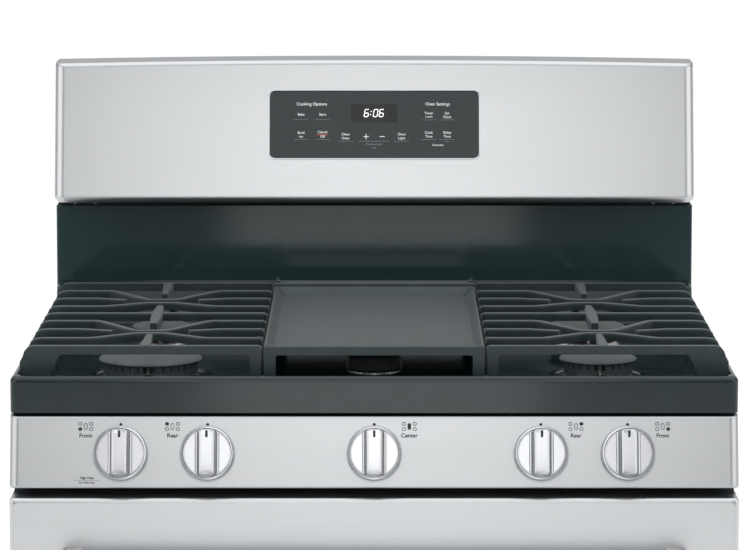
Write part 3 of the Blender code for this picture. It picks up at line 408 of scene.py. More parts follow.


# White and red legends get a faint painted glow: printed ink gives no light of its own.
white_ink_painted_glow = ink("white_legend_ink_painted_glow", "#F2F4F4", 0.15)
grey_ink = ink("grey_legend_ink", "#8C9596")
red_ink_painted_glow = ink("red_legend_ink_painted_glow", "#D8453F", 0.1)
black_ink = ink("black_legend_ink", "#15191A")
clock_light = ink("clock_segments", "#FFFFFF", 0.9)

lamp_cover, tree, shader = finish("ribbed_lamp_glass", "#DDE0DC", 0.15, IOR=1.47)
shader.inputs["Transmission Weight"].default_value = 0.7
raise_surface(tree, shader, grain(tree, 5.0).outputs["Fac"], 0.0005)

# The rope's strands cross about every 3 mm.
rope, tree, shader = finish("braided_glass_fibre", "#6B6862", 0.90)
place = add(tree, "ShaderNodeTexCoord").outputs["Object"]
strands = [add(tree, "ShaderNodeTexWave", {"Vector": place, "Scale": 1000 / 3.0 / 3.1, "Distortion": 1.0},
               bands_direction=axis).outputs["Fac"] for axis in ("X", "Z")]
weave = add(tree, "ShaderNodeMath", {0: strands[0], 1: strands[1]}, operation="MULTIPLY").outputs["Value"]
tree.links.new(tint(tree, weave, "#4E4B46", "#86827A", 0.1, 0.6), shader.inputs["Base Color"])
raise_surface(tree, shader, weave, 0.0006)
print("glass, ink and rope ready")

# %% [markdown]
# ## The backguard
#
# A single stainless sheet is folded round: rolled under at the bottom, leaning back, crowned by 4 mm
# in the middle, and rolled back at both ends. It could be a subdivided box, but the side view with
# true arcs, lofted through stations across the range, keeps the light smooth along its whole length.

# %% Backguard shell

guard_low, guard_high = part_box("backguard")
GUARD_X = guard_high.x
FACE_FOOT = Vector((0, 0.262, 1.038))
FACE_HEAD = Vector((0, 0.298, 1.189))
LEAN = math.atan2(FACE_HEAD.y - FACE_FOOT.y, FACE_HEAD.z - FACE_FOOT.z)
END_ROLL = 0.0120
FOOT_ROLL = 0.008
FOOT_TUCK = 0.0055
CROWN = 0.004
CROWN_START = 1.1
CROWN_SPAN = 0.095


def points_between(first, last):
    """The (y, z) of three points on a straight run."""
    return [(first.lerp(last, t).y, first.lerp(last, t).z) for t in (0.25, 0.5, 0.75)]


def guard_outline():
    lean = math.degrees(LEAN)
    points = [(guard_high.y, guard_low.z)]
    points += arc((FACE_FOOT.y + FOOT_ROLL, FACE_FOOT.z), FOOT_ROLL, 270, 180 - lean, 8)
    points += points_between(FACE_FOOT, FACE_HEAD)
    points += arc((FACE_HEAD.y + 0.007, FACE_HEAD.z - 0.003), 0.007, 180 - lean, 90, 8)
    return points + [(guard_high.y, FACE_HEAD.z + 0.004)]


def across_stations(half, roll, steps=8, middle=12):
    """Places across the range, close together over the rolled ends."""
    ends = [half - roll * (1 - math.sin(math.radians(90 * i / steps))) for i in range(steps + 1)]
    inner = [ends[0] * (2 * i / middle - 1) for i in range(1, middle)]
    return [-x for x in ends[::-1]] + inner + ends


def roll_ends(mesh, half, roll, deep):
    """Turns the face back at both ends, as a quarter round."""
    for vert in mesh.verts:
        over = (abs(vert.co.x) - (half - roll)) / roll
        if over > 0 and vert.co.y < deep:
            vert.co.y += roll * (1 - math.sqrt(max(0.0, 1 - over * over)))


guard = prism(guard_outline(), "X", across_stations(GUARD_X, END_ROLL))
roll_ends(guard, GUARD_X, END_ROLL, guard_high.y - 0.03)
for vert in guard.verts:
    if vert.co.z > CROWN_START:
        rise = CROWN * (1 - (vert.co.x / GUARD_X) ** 2) * (vert.co.z - CROWN_START) / CROWN_SPAN
        back = rise * math.tan(LEAN) if vert.co.y < guard_high.y - 0.004 else 0
        vert.co += Vector((0, back, rise))
    if vert.co.z < FACE_FOOT.z and abs(vert.co.x) > 0.3:
        tuck = FOOT_TUCK * ((FACE_FOOT.z - vert.co.z) / FOOT_ROLL) ** 2
        vert.co.x -= math.copysign(tuck, vert.co.x)
shell = part("backguard_shell", guard, stainless, "range_body", "stainless", "backguard")

# %% [markdown]
# The glass sits in a pocket, 1 mm below the steel. A Boolean cuts the pocket, because it crosses the
# loft's stations, and a thin sloped ring dresses its edge. The slope looks down at the top of the
# glass, so it is dark there, and bright on the other sides. A local frame on the leaning face makes
# it easy: X runs across, Y up the slope, Z outward.

# %% Glass, bead and display window

GLASS_HALF = Vector((0.1241, 0.0397))
GLASS_RISE = 0.086
LEANING = Matrix.Rotation(math.radians(90) - LEAN, 4, "X")
glass_centre = FACE_FOOT + (FACE_HEAD - FACE_FOOT).normalized() * GLASS_RISE
ON_GLASS = Matrix.Translation(glass_centre) @ LEANING
GLASS_FACE = -0.0010  # 1 mm below the steel
POCKET_FLOOR = -0.0022


def glass_sheet(grow, radius, layers):
    def outline(inset):
        return rectangle((-GLASS_HALF.x - grow + inset, -GLASS_HALF.y - grow + inset),
                         (GLASS_HALF.x + grow - inset, GLASS_HALF.y + grow - inset), radius, 8)
    return stacked(outline, layers)


pocket_data = bpy.data.meshes.new("pocket")
moved(glass_sheet(0.0012, 0.008, [(POCKET_FLOOR, 0), (0.004, 0)]), ON_GLASS).to_mesh(pocket_data)
pocket = bpy.data.objects.new("pocket", pocket_data)
bpy.context.scene.collection.objects.link(pocket)
cut = shell.modifiers.new("pocket", "BOOLEAN")
cut.object, cut.operation, cut.solver = pocket, "DIFFERENCE", "EXACT"
shell.modifiers.move(1, 0)
evaluated = shell.evaluated_get(bpy.context.evaluated_depsgraph_get())
cut_mesh = bpy.data.meshes.new_from_object(evaluated, preserve_all_data_layers=True,
                                           depsgraph=bpy.context.evaluated_depsgraph_get())
shell.modifiers.remove(cut)
shell.data = cut_mesh
bpy.data.objects.remove(pocket)
print("shell with its pocket", len(cut_mesh.polygons), "faces")


def framed(half, radius, rings):
    """A picture-frame ring: the outline grows from an inner edge; rings are (outset, height)."""
    loops = []
    for outset, height in rings:
        low = (-half[0] - outset, -half[1] - outset)
        high = (half[0] + outset, half[1] + outset)
        loops.append([(x, y, height) for x, y in rectangle(low, high, radius + outset, 8)])
    return looped(loops)


bead = framed(GLASS_HALF, 0.007, [
    (-0.0002, POCKET_FLOOR), (-0.0002, GLASS_FACE), (0.0010, 0.0001), (0.0014, 0.0002),
    (0.0018, 0.0000), (0.0018, -0.0010)])
part("glass_bead", moved(bead, ON_GLASS), stainless, "range_body", "stainless")
pane = glass_sheet(0.0, 0.007, [(-0.0021, 0), (GLASS_FACE - 0.0003, 0), (GLASS_FACE, 0.0003)])
part("clock_glass", moved(pane, ON_GLASS), control_glass, "range_body", "black_glass", "control_glass")
DISPLAY = Vector((-0.0003, 0.0138))
DISPLAY_HALF = (0.0275, 0.0108)


def display_outline(inset):
    return rectangle((DISPLAY.x - DISPLAY_HALF[0] + inset, DISPLAY.y - DISPLAY_HALF[1] + inset),
                     (DISPLAY.x + DISPLAY_HALF[0] - inset, DISPLAY.y + DISPLAY_HALF[1] - inset), 0.0008, 3)


window = stacked(display_outline, [(GLASS_FACE - 0.0004, 0), (GLASS_FACE + 0.00005, 0),
                                   (GLASS_FACE + 0.00008, 0.0001)])
part("display_window", moved(window, ON_GLASS), window_tint, "range_body", "black_glass")

# %% [markdown]
# The clock is a seven-segment display. Each segment is a thin bar with cut ends; a shear of 9 degrees
# gives its slant. The digits are worked out from the usual letters a to g.

# %% Clock digits

SEGMENTS = {"a": (0, 1, "h"), "b": (1, 0.5, "v"), "c": (1, -0.5, "v"), "d": (0, -1, "h"),
            "e": (-1, -0.5, "v"), "f": (-1, 0.5, "v"), "g": (0, 0, "h")}
DIGITS = {"6": "acdefg", "0": "abcdef"}
DIGIT_HALF = Vector((0.0023, 0.0043))
SLANT = math.tan(math.radians(9))
INK = GLASS_FACE + 0.00016


def bar(centre, length, width, direction):
    """A segment with pointed ends, flat on the glass."""
    half, thick = length / 2, width / 2
    shape = [(-half, 0), (-half + thick, thick), (half - thick, thick), (half, 0),
             (half - thick, -thick), (-half + thick, -thick)]
    if direction == "v":
        shape = [(y, x) for x, y in shape]
    x0, y0 = centre
    shape = [(x0 + x + SLANT * (y0 + y), y0 + y) for x, y in shape]
    return prism(shape, "Z", (INK - 0.0001, INK))


def digit(symbol, x):
    bars = []
    for letter in DIGITS[symbol]:
        side, level, way = SEGMENTS[letter]
        length = 2 * DIGIT_HALF.x if way == "h" else DIGIT_HALF.y
        bars.append(bar((x + side * DIGIT_HALF.x, level * DIGIT_HALF.y), length - 0.0003, 0.0009, way))
    return bars


clock = digit("6", -0.0091) + digit("0", 0.0016) + digit("6", 0.0086)
for level in (-0.0019, 0.0019):
    dot = turned([(0, INK - 0.0001), (0.0006, INK - 0.0001), (0.0006, INK), (0, INK)], 12)
    clock.append(moved(dot, Matrix.Translation((-0.0040 + SLANT * level, level, 0))))
clock = moved(merged(clock), Matrix.Translation((DISPLAY.x + 0.0002, DISPLAY.y + 0.0004, 0)), ON_GLASS)
part("clock_digits", clock, clock_light, "range_body", "black_glass", flat=True)

# %% [markdown]
# Legends name what each touch key does. They are plain function words, set as text, turned to a mesh
# and laid on the glass. A fine line under each key marks where to press.

# %% Key legends

INK_THICKNESS = 0.00005
CAPITAL = 0.70  # the height of a capital in a font of size 1


def lettering(lines, lift, bold=0.012):
    """Words as one mesh: each line is (text, x, y, height of a capital)."""
    meshes = []
    for text, x, y, height in lines:
        curve = bpy.data.curves.new("words", "FONT")
        curve.body = text
        curve.align_x = "CENTER"
        curve.align_y = "CENTER"
        curve.size = height / CAPITAL
        curve.offset = height * bold
        words = bpy.data.objects.new("words", curve)
        bpy.context.scene.collection.objects.link(words)
        bpy.context.view_layer.update()
        outline = words.evaluated_get(bpy.context.evaluated_depsgraph_get()).to_mesh()
        mesh = bmesh.new()
        mesh.from_mesh(outline)
        bmesh.ops.translate(mesh, verts=mesh.verts, vec=(x, y, lift))
        meshes.append(mesh)
        bpy.data.objects.remove(words)
        bpy.data.curves.remove(curve)
    whole = merged(meshes)
    grown = bmesh.ops.extrude_face_region(whole, geom=whole.faces[:], use_keep_orig=True)["geom"]
    raised = [g for g in grown if isinstance(g, bmesh.types.BMVert)]
    bmesh.ops.translate(whole, verts=raised, vec=(0, 0, INK_THICKNESS))
    bmesh.ops.recalc_face_normals(whole, faces=whole.faces)
    return whole


MM = 0.001
HEADERS = [("Cooking Options", -74.0, 24.8, 3.6), ("Oven Settings", 75.0, 24.8, 3.6)]
KEYS = [("Bake", -86.7, 12.4, 2.9), ("Start", -61.2, 12.4, 2.9), ("Broil", -86.7, -9.4, 2.9),
        ("Cancel", -61.2, -8.6, 2.9), ("Oven", 32.3, -11.2, 2.9), ("Clean", -33.9, -11.2, 2.9),
        ("Timer", 64.5, 13.9, 2.9), ("Set", 86.2, 13.9, 2.9), ("Cook", 64.5, -9.2, 2.9),
        ("Delay", 86.2, -9.2, 2.9)]
SECOND = [("High", -86.7, -14.0, 2.0), ("Off", -61.2, -13.9, 2.9), ("Light", 32.3, -15.9, 2.9),
          ("Oven", -33.9, -15.9, 2.9), ("On/Off", 64.5, 9.5, 2.0), ("Clock", 86.2, 9.4, 2.9),
          ("Time", 64.5, -13.8, 2.9), ("Time", 86.2, -13.8, 2.9), ("Automatic", 75.3, -24.0, 2.2)]
SMALL = [("Control Lock", -0.4, -23.2, 2.5), ("Hold", -0.4, -27.2, 1.8), ("Time", 86.2, -19.9, 1.8)]
LEGENDS = (("key_words", HEADERS + KEYS + SECOND, white_ink_painted_glow), ("small_words", SMALL, grey_ink))
for name, rows, colour in LEGENDS:
    words = [(text, x * MM, y * MM, height * MM) for text, x, y, height in rows]
    part(name, moved(lettering(words, INK), ON_GLASS), colour, "range_body", "black_glass", flat=True)


def rule(x, y, length, width=0.00035):
    return block((x - length / 2, y - width / 2, INK - 0.0001), (x + length / 2, y + width / 2, INK))


KEY_WIDTH = 17.7
KEY_LINES = [(-86.7, 6.2, KEY_WIDTH), (-61.2, 6.2, KEY_WIDTH), (-86.7, -17.2, KEY_WIDTH),
             (-61.2, -17.2, KEY_WIDTH), (-33.9, -19.4, KEY_WIDTH), (-0.4, -19.4, 36.8),
             (32.3, -19.4, KEY_WIDTH), (64.5, 6.0, KEY_WIDTH), (86.2, 6.0, KEY_WIDTH),
             (64.5, -17.4, KEY_WIDTH), (86.2, -17.4, KEY_WIDTH)]
lines = [rule(x * MM, y * MM, length * MM) for x, y, length in KEY_LINES]
part("key_lines", moved(merged(lines), ON_GLASS), grey_ink, "range_body", "black_glass", flat=True)
signs = [rule(-9.8 * MM, -13.8 * MM, 6.2 * MM, 0.8 * MM), rule(9.2 * MM, -13.8 * MM, 6.0 * MM, 0.8 * MM),
         block((-10.2 * MM, -16.9 * MM, INK - 0.0001), (-9.4 * MM, -10.7 * MM, INK))]
part("plus_and_minus", moved(merged(signs), ON_GLASS), white_ink_painted_glow, "range_body", "black_glass", flat=True)
part("cancel_line", moved(rule(-61.2 * MM, -11.6 * MM, 14.0 * MM, 0.6 * MM), ON_GLASS), red_ink_painted_glow,
     "range_body", "black_glass", flat=True)

# %% [markdown]
# ## The riser and the cooktop
#
# The riser is one enamelled sheet between the cooktop and the backguard, folded back at both sides. A
# plain channel outline with round folds, run upward and sheared back by 2.2 degrees, is all it is. It
# stops 6 mm short of the backguard. Above it, a near-black strip with four screw heads is painted
# shade for the gap under the backguard.

# %% Riser

riser_low, riser_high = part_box("riser")
FOLD = 0.003


def channel(half, front, back, wall, fold):
    outer = [(-half, back)] + arc((-half + fold, front + fold), fold, 180, 270, 5)
    outer += arc((half - fold, front + fold), fold, 270, 360, 5) + [(half, back)]
    inner = [(half - wall, back)] + arc((half - fold, front + fold), fold - wall, 360, 270, 5)
    inner += arc((-half + fold, front + fold), fold - wall, 270, 180, 5) + [(-half + wall, back)]
    return outer + inner


RISER_TOP = riser_high.z - 0.0062
RISER_LEAN = math.radians(2.2)
riser_outline = channel(riser_high.x, riser_low.y, riser_high.y - 0.004, 0.0012, FOLD)
riser = prism(riser_outline, "Z", (riser_low.z, 0.97, RISER_TOP))
for vert in riser.verts:
    vert.co.y += (vert.co.z - riser_low.z) * math.tan(RISER_LEAN)
part("riser_sheet", riser, riser_enamel_painted_lighter, "range_body", "black_enamel", "riser")
# The near-black strip is painted shade: it stands for the dark gap under the backguard.
painted_shadow_strip = block((-riser_high.x + 0.006, riser_low.y + 0.0075, RISER_TOP - 0.008),
               (riser_high.x - 0.006, riser_low.y + 0.0090, riser_high.z + 0.003), 0.0004)
part("riser_shadow_strip", painted_shadow_strip, painted_shade_black, "range_body", "black_enamel")


def screw(radius, height):
    """A pan head with a cross on it."""
    head = turned([(0, 0), (radius, 0), (radius, height * 0.45), (radius * 0.75, height * 0.9),
                   (0, height)], 20)
    arms = ((radius * 0.55, radius * 0.11), (radius * 0.11, radius * 0.55))
    cross = [block((-x, -y, height * 0.85), (x, y, height * 1.03)) for x, y in arms]
    return merged([head] + cross)


screws = []
for x in (-0.3565, -0.3327, 0.3327, 0.3565):
    place = Matrix.Translation((x, riser_low.y + 0.0076, riser_high.z - 0.0030))
    screws.append(moved(screw(0.0015, 0.0012), place @ Matrix.Rotation(math.radians(90), 4, "X")))
part("riser_screws", merged(screws), zinc, "range_body", "galvanised_steel")

# %% [markdown]
# The cooktop is deep-drawn from one sheet: an upright apron, a rounded rim, a wall that drops into the
# well, and a raised ledge at the back. Rings of one rounded rectangle, each with its own limits and
# height, follow the drawn section from the apron's foot to the well's floor.

# %% Cooktop pressing

top_low, top_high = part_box("cooktop")
RIM = 0.9165
WELL = 0.893
LEDGE = top_high.z
LEDGE_START = 0.236
WELL_X = 0.374
WELL_FRONT = -0.266
WELL_REAR = 0.228


def pressing_ring(side, front, rear, radius, height):
    return [(x, y, height) for x, y in rectangle((-side, front), (side, rear), radius, 8)]


OUT = 0.006
IN = 0.003
FLOOR_BEND = 0.008
CORNER = 0.0095
rings = [pressing_ring(top_high.x, top_low.y, LEDGE_START, CORNER, top_low.z)]
for x, z in arc((0, 0), OUT, 0, 90, 6):
    rings.append(pressing_ring(top_high.x - OUT + x, top_low.y + OUT - x, LEDGE_START, CORNER,
                               RIM - OUT + z))
for x, z in arc((0, 0), IN, 90, 0, 5):
    rings.append(pressing_ring(WELL_X + 0.0005 - x, WELL_FRONT - 0.0005 + x, WELL_REAR + 0.0005 - x,
                               0.010, RIM - IN + z))
for x, z in arc((0, 0), FLOOR_BEND, 180, 270, 5):
    rings.append(pressing_ring(WELL_X - 0.006 - FLOOR_BEND - x, WELL_FRONT + 0.014 + x,
                               WELL_REAR - 0.014 - x, 0.014, WELL + FLOOR_BEND + z))
part("cooktop_pressing", lofted(rings), black_enamel, "range_body", "black_enamel", "cooktop")
ledge = [(LEDGE_START - 0.004, RIM - 0.006), (LEDGE_START, RIM)]
ledge += arc((LEDGE_START + 0.012, LEDGE - 0.004), 0.004, 150, 90, 4)
ledge += [(top_high.y, LEDGE), (top_high.y, top_low.z), (LEDGE_START + 0.0002, top_low.z),
          (LEDGE_START + 0.0002, RIM - 0.008)]


def ledge_end(edge):
    """The top edges at the two ends of the ledge."""
    on_top = min(v.co.z for v in edge.verts) > LEDGE - 0.0003
    return on_top and abs(edge.verts[0].co.x - edge.verts[1].co.x) < 1e-5


rear = softened(prism(ledge, "X", (-WELL_X - 0.0005, WELL_X + 0.0005)), ledge_end, 0.002, 3)
part("cooktop_rear_ledge", rear, black_enamel, "range_body", "black_enamel")

# %% [markdown]
# ## Burners
#
# A sealed burner is a cast aluminium head with slots cut round it, standing on a bright neck, under a
# loose enamelled cap. The head is a turning with many steps; every seventh face of its wall is pushed
# in to make a slot, which is how the slots look on the casting. Two wide gaps leave room for the
# igniter. A shallow dish is drawn round each burner.

# %% Round burners

CAPS = {"front_left": 0.0553, "rear_left": 0.0340, "rear_right": 0.0440, "front_right": 0.0415}
NECKS = {"front_left": 0.0512, "rear_left": 0.0262, "rear_right": 0.0376, "front_right": 0.0376}
HEAD_TOP = 0.9085
HEAD_FOOT = {"front": 0.8982, "rear": 0.9020}
HEAD_LIP = 0.0041  # how far the slotted wall stands over the head's floor
LIP_WIDTH = 0.0045
CAP_OVERHANG = 0.0045
SLOT_PITCH, SLOT_DEPTH = 0.0090, 0.0038
SLOT_FACES = 7  # one face in seven becomes a slot
SLOT_FOOT, SLOT_HEAD = 0.0066, 0.0008  # both down from the top of the wall
GAP = (0.0016, 0.0052)  # each wide gap, along the wall from the front
DISH_REACH = 0.019


def slotted_head(radius, low, high):
    """A turned head with slots all round its wall, and two wide gaps at the front."""
    steps = max(12, round(math.tau * radius / SLOT_PITCH)) * SLOT_FACES
    profile = [(0, low), (radius - 0.0008, low), (radius, low + 0.0008), (radius, high - SLOT_FOOT),
               (radius, high - SLOT_HEAD), (radius, high - 0.0004), (radius - 0.0004, high),
               (radius - LIP_WIDTH, high), (radius - LIP_WIDTH, HEAD_TOP), (0, HEAD_TOP)]
    mesh = turned(profile, steps)
    chosen = []
    for face in mesh.faces:
        middle = face.calc_center_median()
        in_zone = high - SLOT_FOOT < middle.z < high - SLOT_HEAD
        if abs(face.normal.z) > 0.2 or not in_zone or middle.xy.length < radius - 0.002:
            continue
        angle = math.atan2(middle.y, middle.x) % math.tau
        from_front = abs(angle - 1.5 * math.pi) * radius
        in_slot = int(angle / math.tau * steps + 1e-3) % SLOT_FACES == 0
        if in_slot or GAP[0] < from_front < GAP[1]:
            chosen.append(face)
    for face in bmesh.ops.extrude_discrete_faces(mesh, faces=chosen)["faces"]:
        middle = face.calc_center_median()
        inward = -Vector((middle.x, middle.y, 0)).normalized() * SLOT_DEPTH
        bmesh.ops.translate(mesh, verts=face.verts, vec=inward)
    return mesh


def igniter(radius):
    """A white ceramic rod with a steel tip, in a gap of the head."""
    rod = turned([(0, WELL), (0.0028, WELL), (0.0028, HEAD_TOP - 0.006), (0.0012, HEAD_TOP - 0.005),
                  (0.0012, HEAD_TOP - 0.001), (0, HEAD_TOP - 0.001)], 16)
    return moved(rod, Matrix.Translation((0, -radius - 0.0035, 0)))


for name, radius in CAPS.items():
    low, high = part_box(f"burner_cap_{name}")
    at = Matrix.Translation(((low.x + high.x) / 2, (low.y + high.y) / 2, 0))
    head_radius = radius - CAP_OVERHANG
    head_foot = HEAD_FOOT[name.split("_")[0]]
    head = slotted_head(head_radius, head_foot, HEAD_TOP + HEAD_LIP)
    part(f"burner_head_{name}", moved(head, at), head_metal_painted_shade, "range_body", "burner_aluminium", angle=25)
    neck = NECKS[name]
    foot = [(0, WELL - 0.003), (neck + 0.0014, WELL - 0.003), (neck + 0.0014, WELL + 0.0008),
            (neck, WELL + 0.0014), (neck - 0.005, head_foot + 0.0004), (0, head_foot + 0.0004)]
    part(f"burner_neck_{name}", moved(turned(foot, 64), at), bright_aluminium, "range_body",
         "burner_aluminium", f"burner_base_{name}")
    part(f"burner_igniter_{name}", moved(igniter(head_radius), at), bright_aluminium, "range_body",
         "burner_aluminium")
    base = HEAD_TOP + 0.0004
    boss = head_radius - 0.0050
    profile = [(0, base), (boss, base), (boss, base + HEAD_LIP), (radius - 0.0012, base + HEAD_LIP),
               (radius - 0.0002, base + 0.0045), (radius, base + 0.0052), (radius - 0.0008, base + 0.0061),
               (radius - 0.0040, base + 0.0071), (radius - 0.0100, base + 0.0079),
               (radius * 0.55, base + 0.0084), (0, base + 0.0085)]
    cap = moved(turned(profile, 72), at)
    part(f"burner_cap_plate_{name}", cap, cap_enamel, f"cap_{name}", "black_enamel", f"burner_cap_{name}")
    reach = radius + DISH_REACH
    dish = [(reach - 0.013, WELL - 0.001), (reach + 0.002, WELL - 0.001), (reach, WELL + 0.0004),
            (reach - 0.003, WELL + 0.0018), (reach - 0.007, WELL + 0.0018), (reach - 0.0115, WELL + 0.0003)]
    loops = [[(r * math.cos(a), r * math.sin(a), z) for r, z in dish]
             for a in (math.tau * i / 64 for i in range(64))]
    part(f"burner_dish_{name}", moved(looped(loops), at), black_enamel, "range_body", "black_enamel")

# %% [markdown]
# The fifth burner is oval and lies under the griddle. It is the same build on a stadium outline.

# %% Oval burner

oval_low, oval_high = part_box("burner_cap_center")
OVAL = ((oval_high.x - oval_low.x) / 2, (oval_high.y - oval_low.y) / 2)
oval_at = Matrix.Translation((0, (oval_low.y + oval_high.y) / 2, 0))


def oval(inset):
    return stadium(OVAL[0] - inset, OVAL[1] - inset, 16)


base = HEAD_TOP + 0.0004
shapes = [("burner_ring_center", bright_aluminium, "range_body", ("burner_base_center",),
           [(WELL - 0.002, 0.0010), (WELL + 0.0010, 0.0010), (WELL + 0.0018, 0.0020),
            (WELL + 0.0026, 0.0030)]),
          ("burner_head_center", head_metal_painted_shade, "range_body", (),
           [(WELL + 0.002, 0.0035), (HEAD_TOP - 0.001, 0.0045), (HEAD_TOP, 0.005)]),
          ("burner_cap_plate_center", cap_enamel, "cap_center", ("burner_cap_center",),
           [(base, 0.004), (base + 0.001, 0.0008), (base + 0.0026, 0.0), (base + 0.004, 0.0012),
            (base + 0.0065, 0.0045), (base + 0.008, 0.010)])]
for name, material, body, stands_for, layers in shapes:
    slot = "black_enamel" if "cap" in name else "burner_aluminium"
    part(name, moved(stacked(oval, layers), oval_at), material, body, slot, *stands_for)

# %% [markdown]
# ## Grates
#
# Each grate is one sand casting. Its bars run from side to side, drop over the outer edge like skis,
# and bow towards the burners; short fingers reach in from the sides and along the middle. So every bar
# is one section swept along its own path, and the bars sink into each other where they meet. A voxel
# remesh would give soft joints, but it rounds the narrow flat top of the bars, which catches the light.

# %% Bars of a grate

grate_low, grate_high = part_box("grate_right")
GRATE_TOP = grate_high.z
INNER_X, OUTER_X, FOOT_X = 0.1191, 0.3642, 0.372
FRONT_Y, REAR_Y = grate_low.y, grate_high.y
BURNER = (0.2405, -0.1445, 0.0735)
NOSE = 0.004
BAR_SIDE = [(0.0029, 0.0), (0.0036, -0.0003), (0.0040, -0.0010), (0.0041, -0.0030), (0.0034, -0.0084),
            (0.0026, -0.0089)]
BAR = [(-0.0029, 0.0)] + BAR_SIDE + [(-side, up) for side, up in BAR_SIDE[:0:-1]]


def drop(y, outer=True):
    """The end of a bar: over the outer edge in a curve and down to the rail, or a blunt inner end."""
    if outer:
        return [(OUTER_X - 0.012, y, GRATE_TOP), (OUTER_X - 0.004, y, GRATE_TOP - 0.0008),
                (OUTER_X + 0.001, y, GRATE_TOP - 0.004), (FOOT_X - 0.003, y, GRATE_TOP - 0.014),
                (FOOT_X, y, GRATE_TOP - 0.025)]
    return [(INNER_X + away, y, GRATE_TOP) for away in (NOSE, NOSE * 0.6, NOSE * 0.3, NOSE * 0.1, 0.0)]


def blunted(mesh):
    """Rounds the top corner of the inner ends."""
    for vert in mesh.verts:
        away = INNER_X + NOSE - vert.co.x
        if away > 0:
            vert.co.z = min(vert.co.z, GRATE_TOP - NOSE + math.sqrt(max(0.0, NOSE * NOSE - away * away)))
    return mesh


def bowed(y_end, y_middle, start=0.066, flat=0.011, soft=0.2):
    """Straight from both ends, then a diagonal to a flat stretch at the middle, with soft bends."""
    path = []
    for i in range(41):
        away = start * (i / 20 - 1)
        t = min(1.0, (start - abs(away)) / (start - flat))
        if t < soft:
            ease = t * t / (2 * soft * (1 - soft))
        elif t > 1 - soft:
            ease = 1 - (1 - t) ** 2 / (2 * soft * (1 - soft))
        else:
            ease = (t - soft / 2) / (1 - soft)
        path.append((BURNER[0] + away, y_end + (y_middle - y_end) * ease, GRATE_TOP))
    return drop(y_end, False)[::-1] + path + drop(y_end)


def finger_paths(y, y_tip, tip=0.041):
    elbow = 0.034
    left = drop(y, False)[::-1] + [(BURNER[0] - tip - elbow, y, GRATE_TOP),
                                   (BURNER[0] - tip, y_tip, GRATE_TOP)]
    right = [(BURNER[0] + tip, y_tip, GRATE_TOP), (BURNER[0] + tip + elbow, y, GRATE_TOP)] + drop(y)
    return left, right


BOWS = ((0.1521, 0.0855), (0.0362, 0.0620), (-0.0686, -0.1360), (-0.1855, -0.1525))
FINGERS = ((0.0937, 0.083), (-0.1259, -0.1375))
SPINES = (((REAR_Y - 0.003, 0.0062), (0.122, 0.0036)),
          ((0.038, 0.0036), (0.004, 0.0062), (-0.046, 0.0062), (-0.090, 0.0040)),
          ((-0.163, 0.0036), (FRONT_Y + 0.003, 0.0062)))


def bridge(front):
    """The end frame of a grate: a bar over an opening, a narrow leg inside and a wide one outside."""
    under, foot = GRATE_TOP - 0.0090, WELL + 0.0004
    opening = [(0.1304, foot), (0.1304, under - 0.003), (0.1334, under)]
    opening += [(0.3270, under), (0.3310, under - 0.002), (0.3400, GRATE_TOP - 0.031), (0.3408, foot)]
    outside = [(FOOT_X - 0.004, foot), (FOOT_X, GRATE_TOP - 0.0285), (FOOT_X - 0.001, GRATE_TOP - 0.018),
               (OUTER_X + 0.003, GRATE_TOP - 0.006), (OUTER_X - 0.001, GRATE_TOP - 0.0012),
               (OUTER_X - 0.006, GRATE_TOP)]
    inside = [(INNER_X + 0.002, GRATE_TOP), (INNER_X, GRATE_TOP - 0.002)]
    outline = [(INNER_X, foot)] + opening + outside + inside
    return prism(outline, "Y", (front, front + 0.008))


def grate_bars():
    bars = [bridge(FRONT_Y), bridge(REAR_Y - 0.008)]
    paths = [bowed(*ends) for ends in BOWS]
    paths.append(drop(-0.0147, False)[::-1] + drop(-0.0147))
    for y, y_tip in FINGERS:
        paths += finger_paths(y, y_tip)
    bars += [blunted(swept(BAR, path)) for path in paths]
    for widths in SPINES:
        depth = -0.0085 if widths[-1][0] < -0.2 else -0.011
        section = ((-0.8, 0.0003), (0.8, 0.0003), (1, -0.0008), (0.9, depth), (-0.9, depth), (-1, -0.0008))
        bars.append(lofted([[(BURNER[0] + side * half, y, GRATE_TOP + z) for side, z in section]
                            for y, half in widths]))
    rails = ((FOOT_X - 0.0085, FOOT_X, 0.9155, 0.9265), (INNER_X + 0.0004, INNER_X + 0.0075, 0.9160, 0.9350))
    for low_x, high_x, low_z, high_z in rails:
        bars.append(block((low_x, FRONT_Y + 0.002, low_z), (high_x, REAR_Y - 0.002, high_z)))
    return bars


casting = merged(grate_bars())
mirror_data = bpy.data.meshes.new("left_grate_shape")
casting.to_mesh(mirror_data)
part("grate_casting_right", casting, grate_enamel, "right_grate", "cast_iron", "grate_right")
left_casting = bmesh.new()
left_casting.from_mesh(mirror_data)
moved(left_casting, Matrix.Diagonal((-1, 1, 1, 1)))
bmesh.ops.reverse_faces(left_casting, faces=left_casting.faces)
part("grate_casting_left", left_casting, grate_enamel, "left_grate", "cast_iron", "grate_left")

# %% [markdown]
# ## Griddle
#
# The griddle is a shallow cast tray on four feet. Its rim stands 8 mm over the floor, slopes in, and
# rises a little more at the back. Rings again: outer wall, rounded rim, slope and floor. The two end
# frames that carry the feet and the rear lip are separate shapes that sink into the tray.

# %% Griddle tray

griddle_low, griddle_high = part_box("griddle")
TRAY_X = griddle_high.x
TRAY_FRONT, TRAY_REAR = griddle_low.y, griddle_high.y
TRAY_RIM, TRAY_FLOOR = 0.942, 0.934


def tray_ring(front, side, rear, height, radius):
    low, high = (-TRAY_X + side, TRAY_FRONT + front), (TRAY_X - side, TRAY_REAR - rear)
    return [(x, y, height) for x, y in rectangle(low, high, radius, 5)]


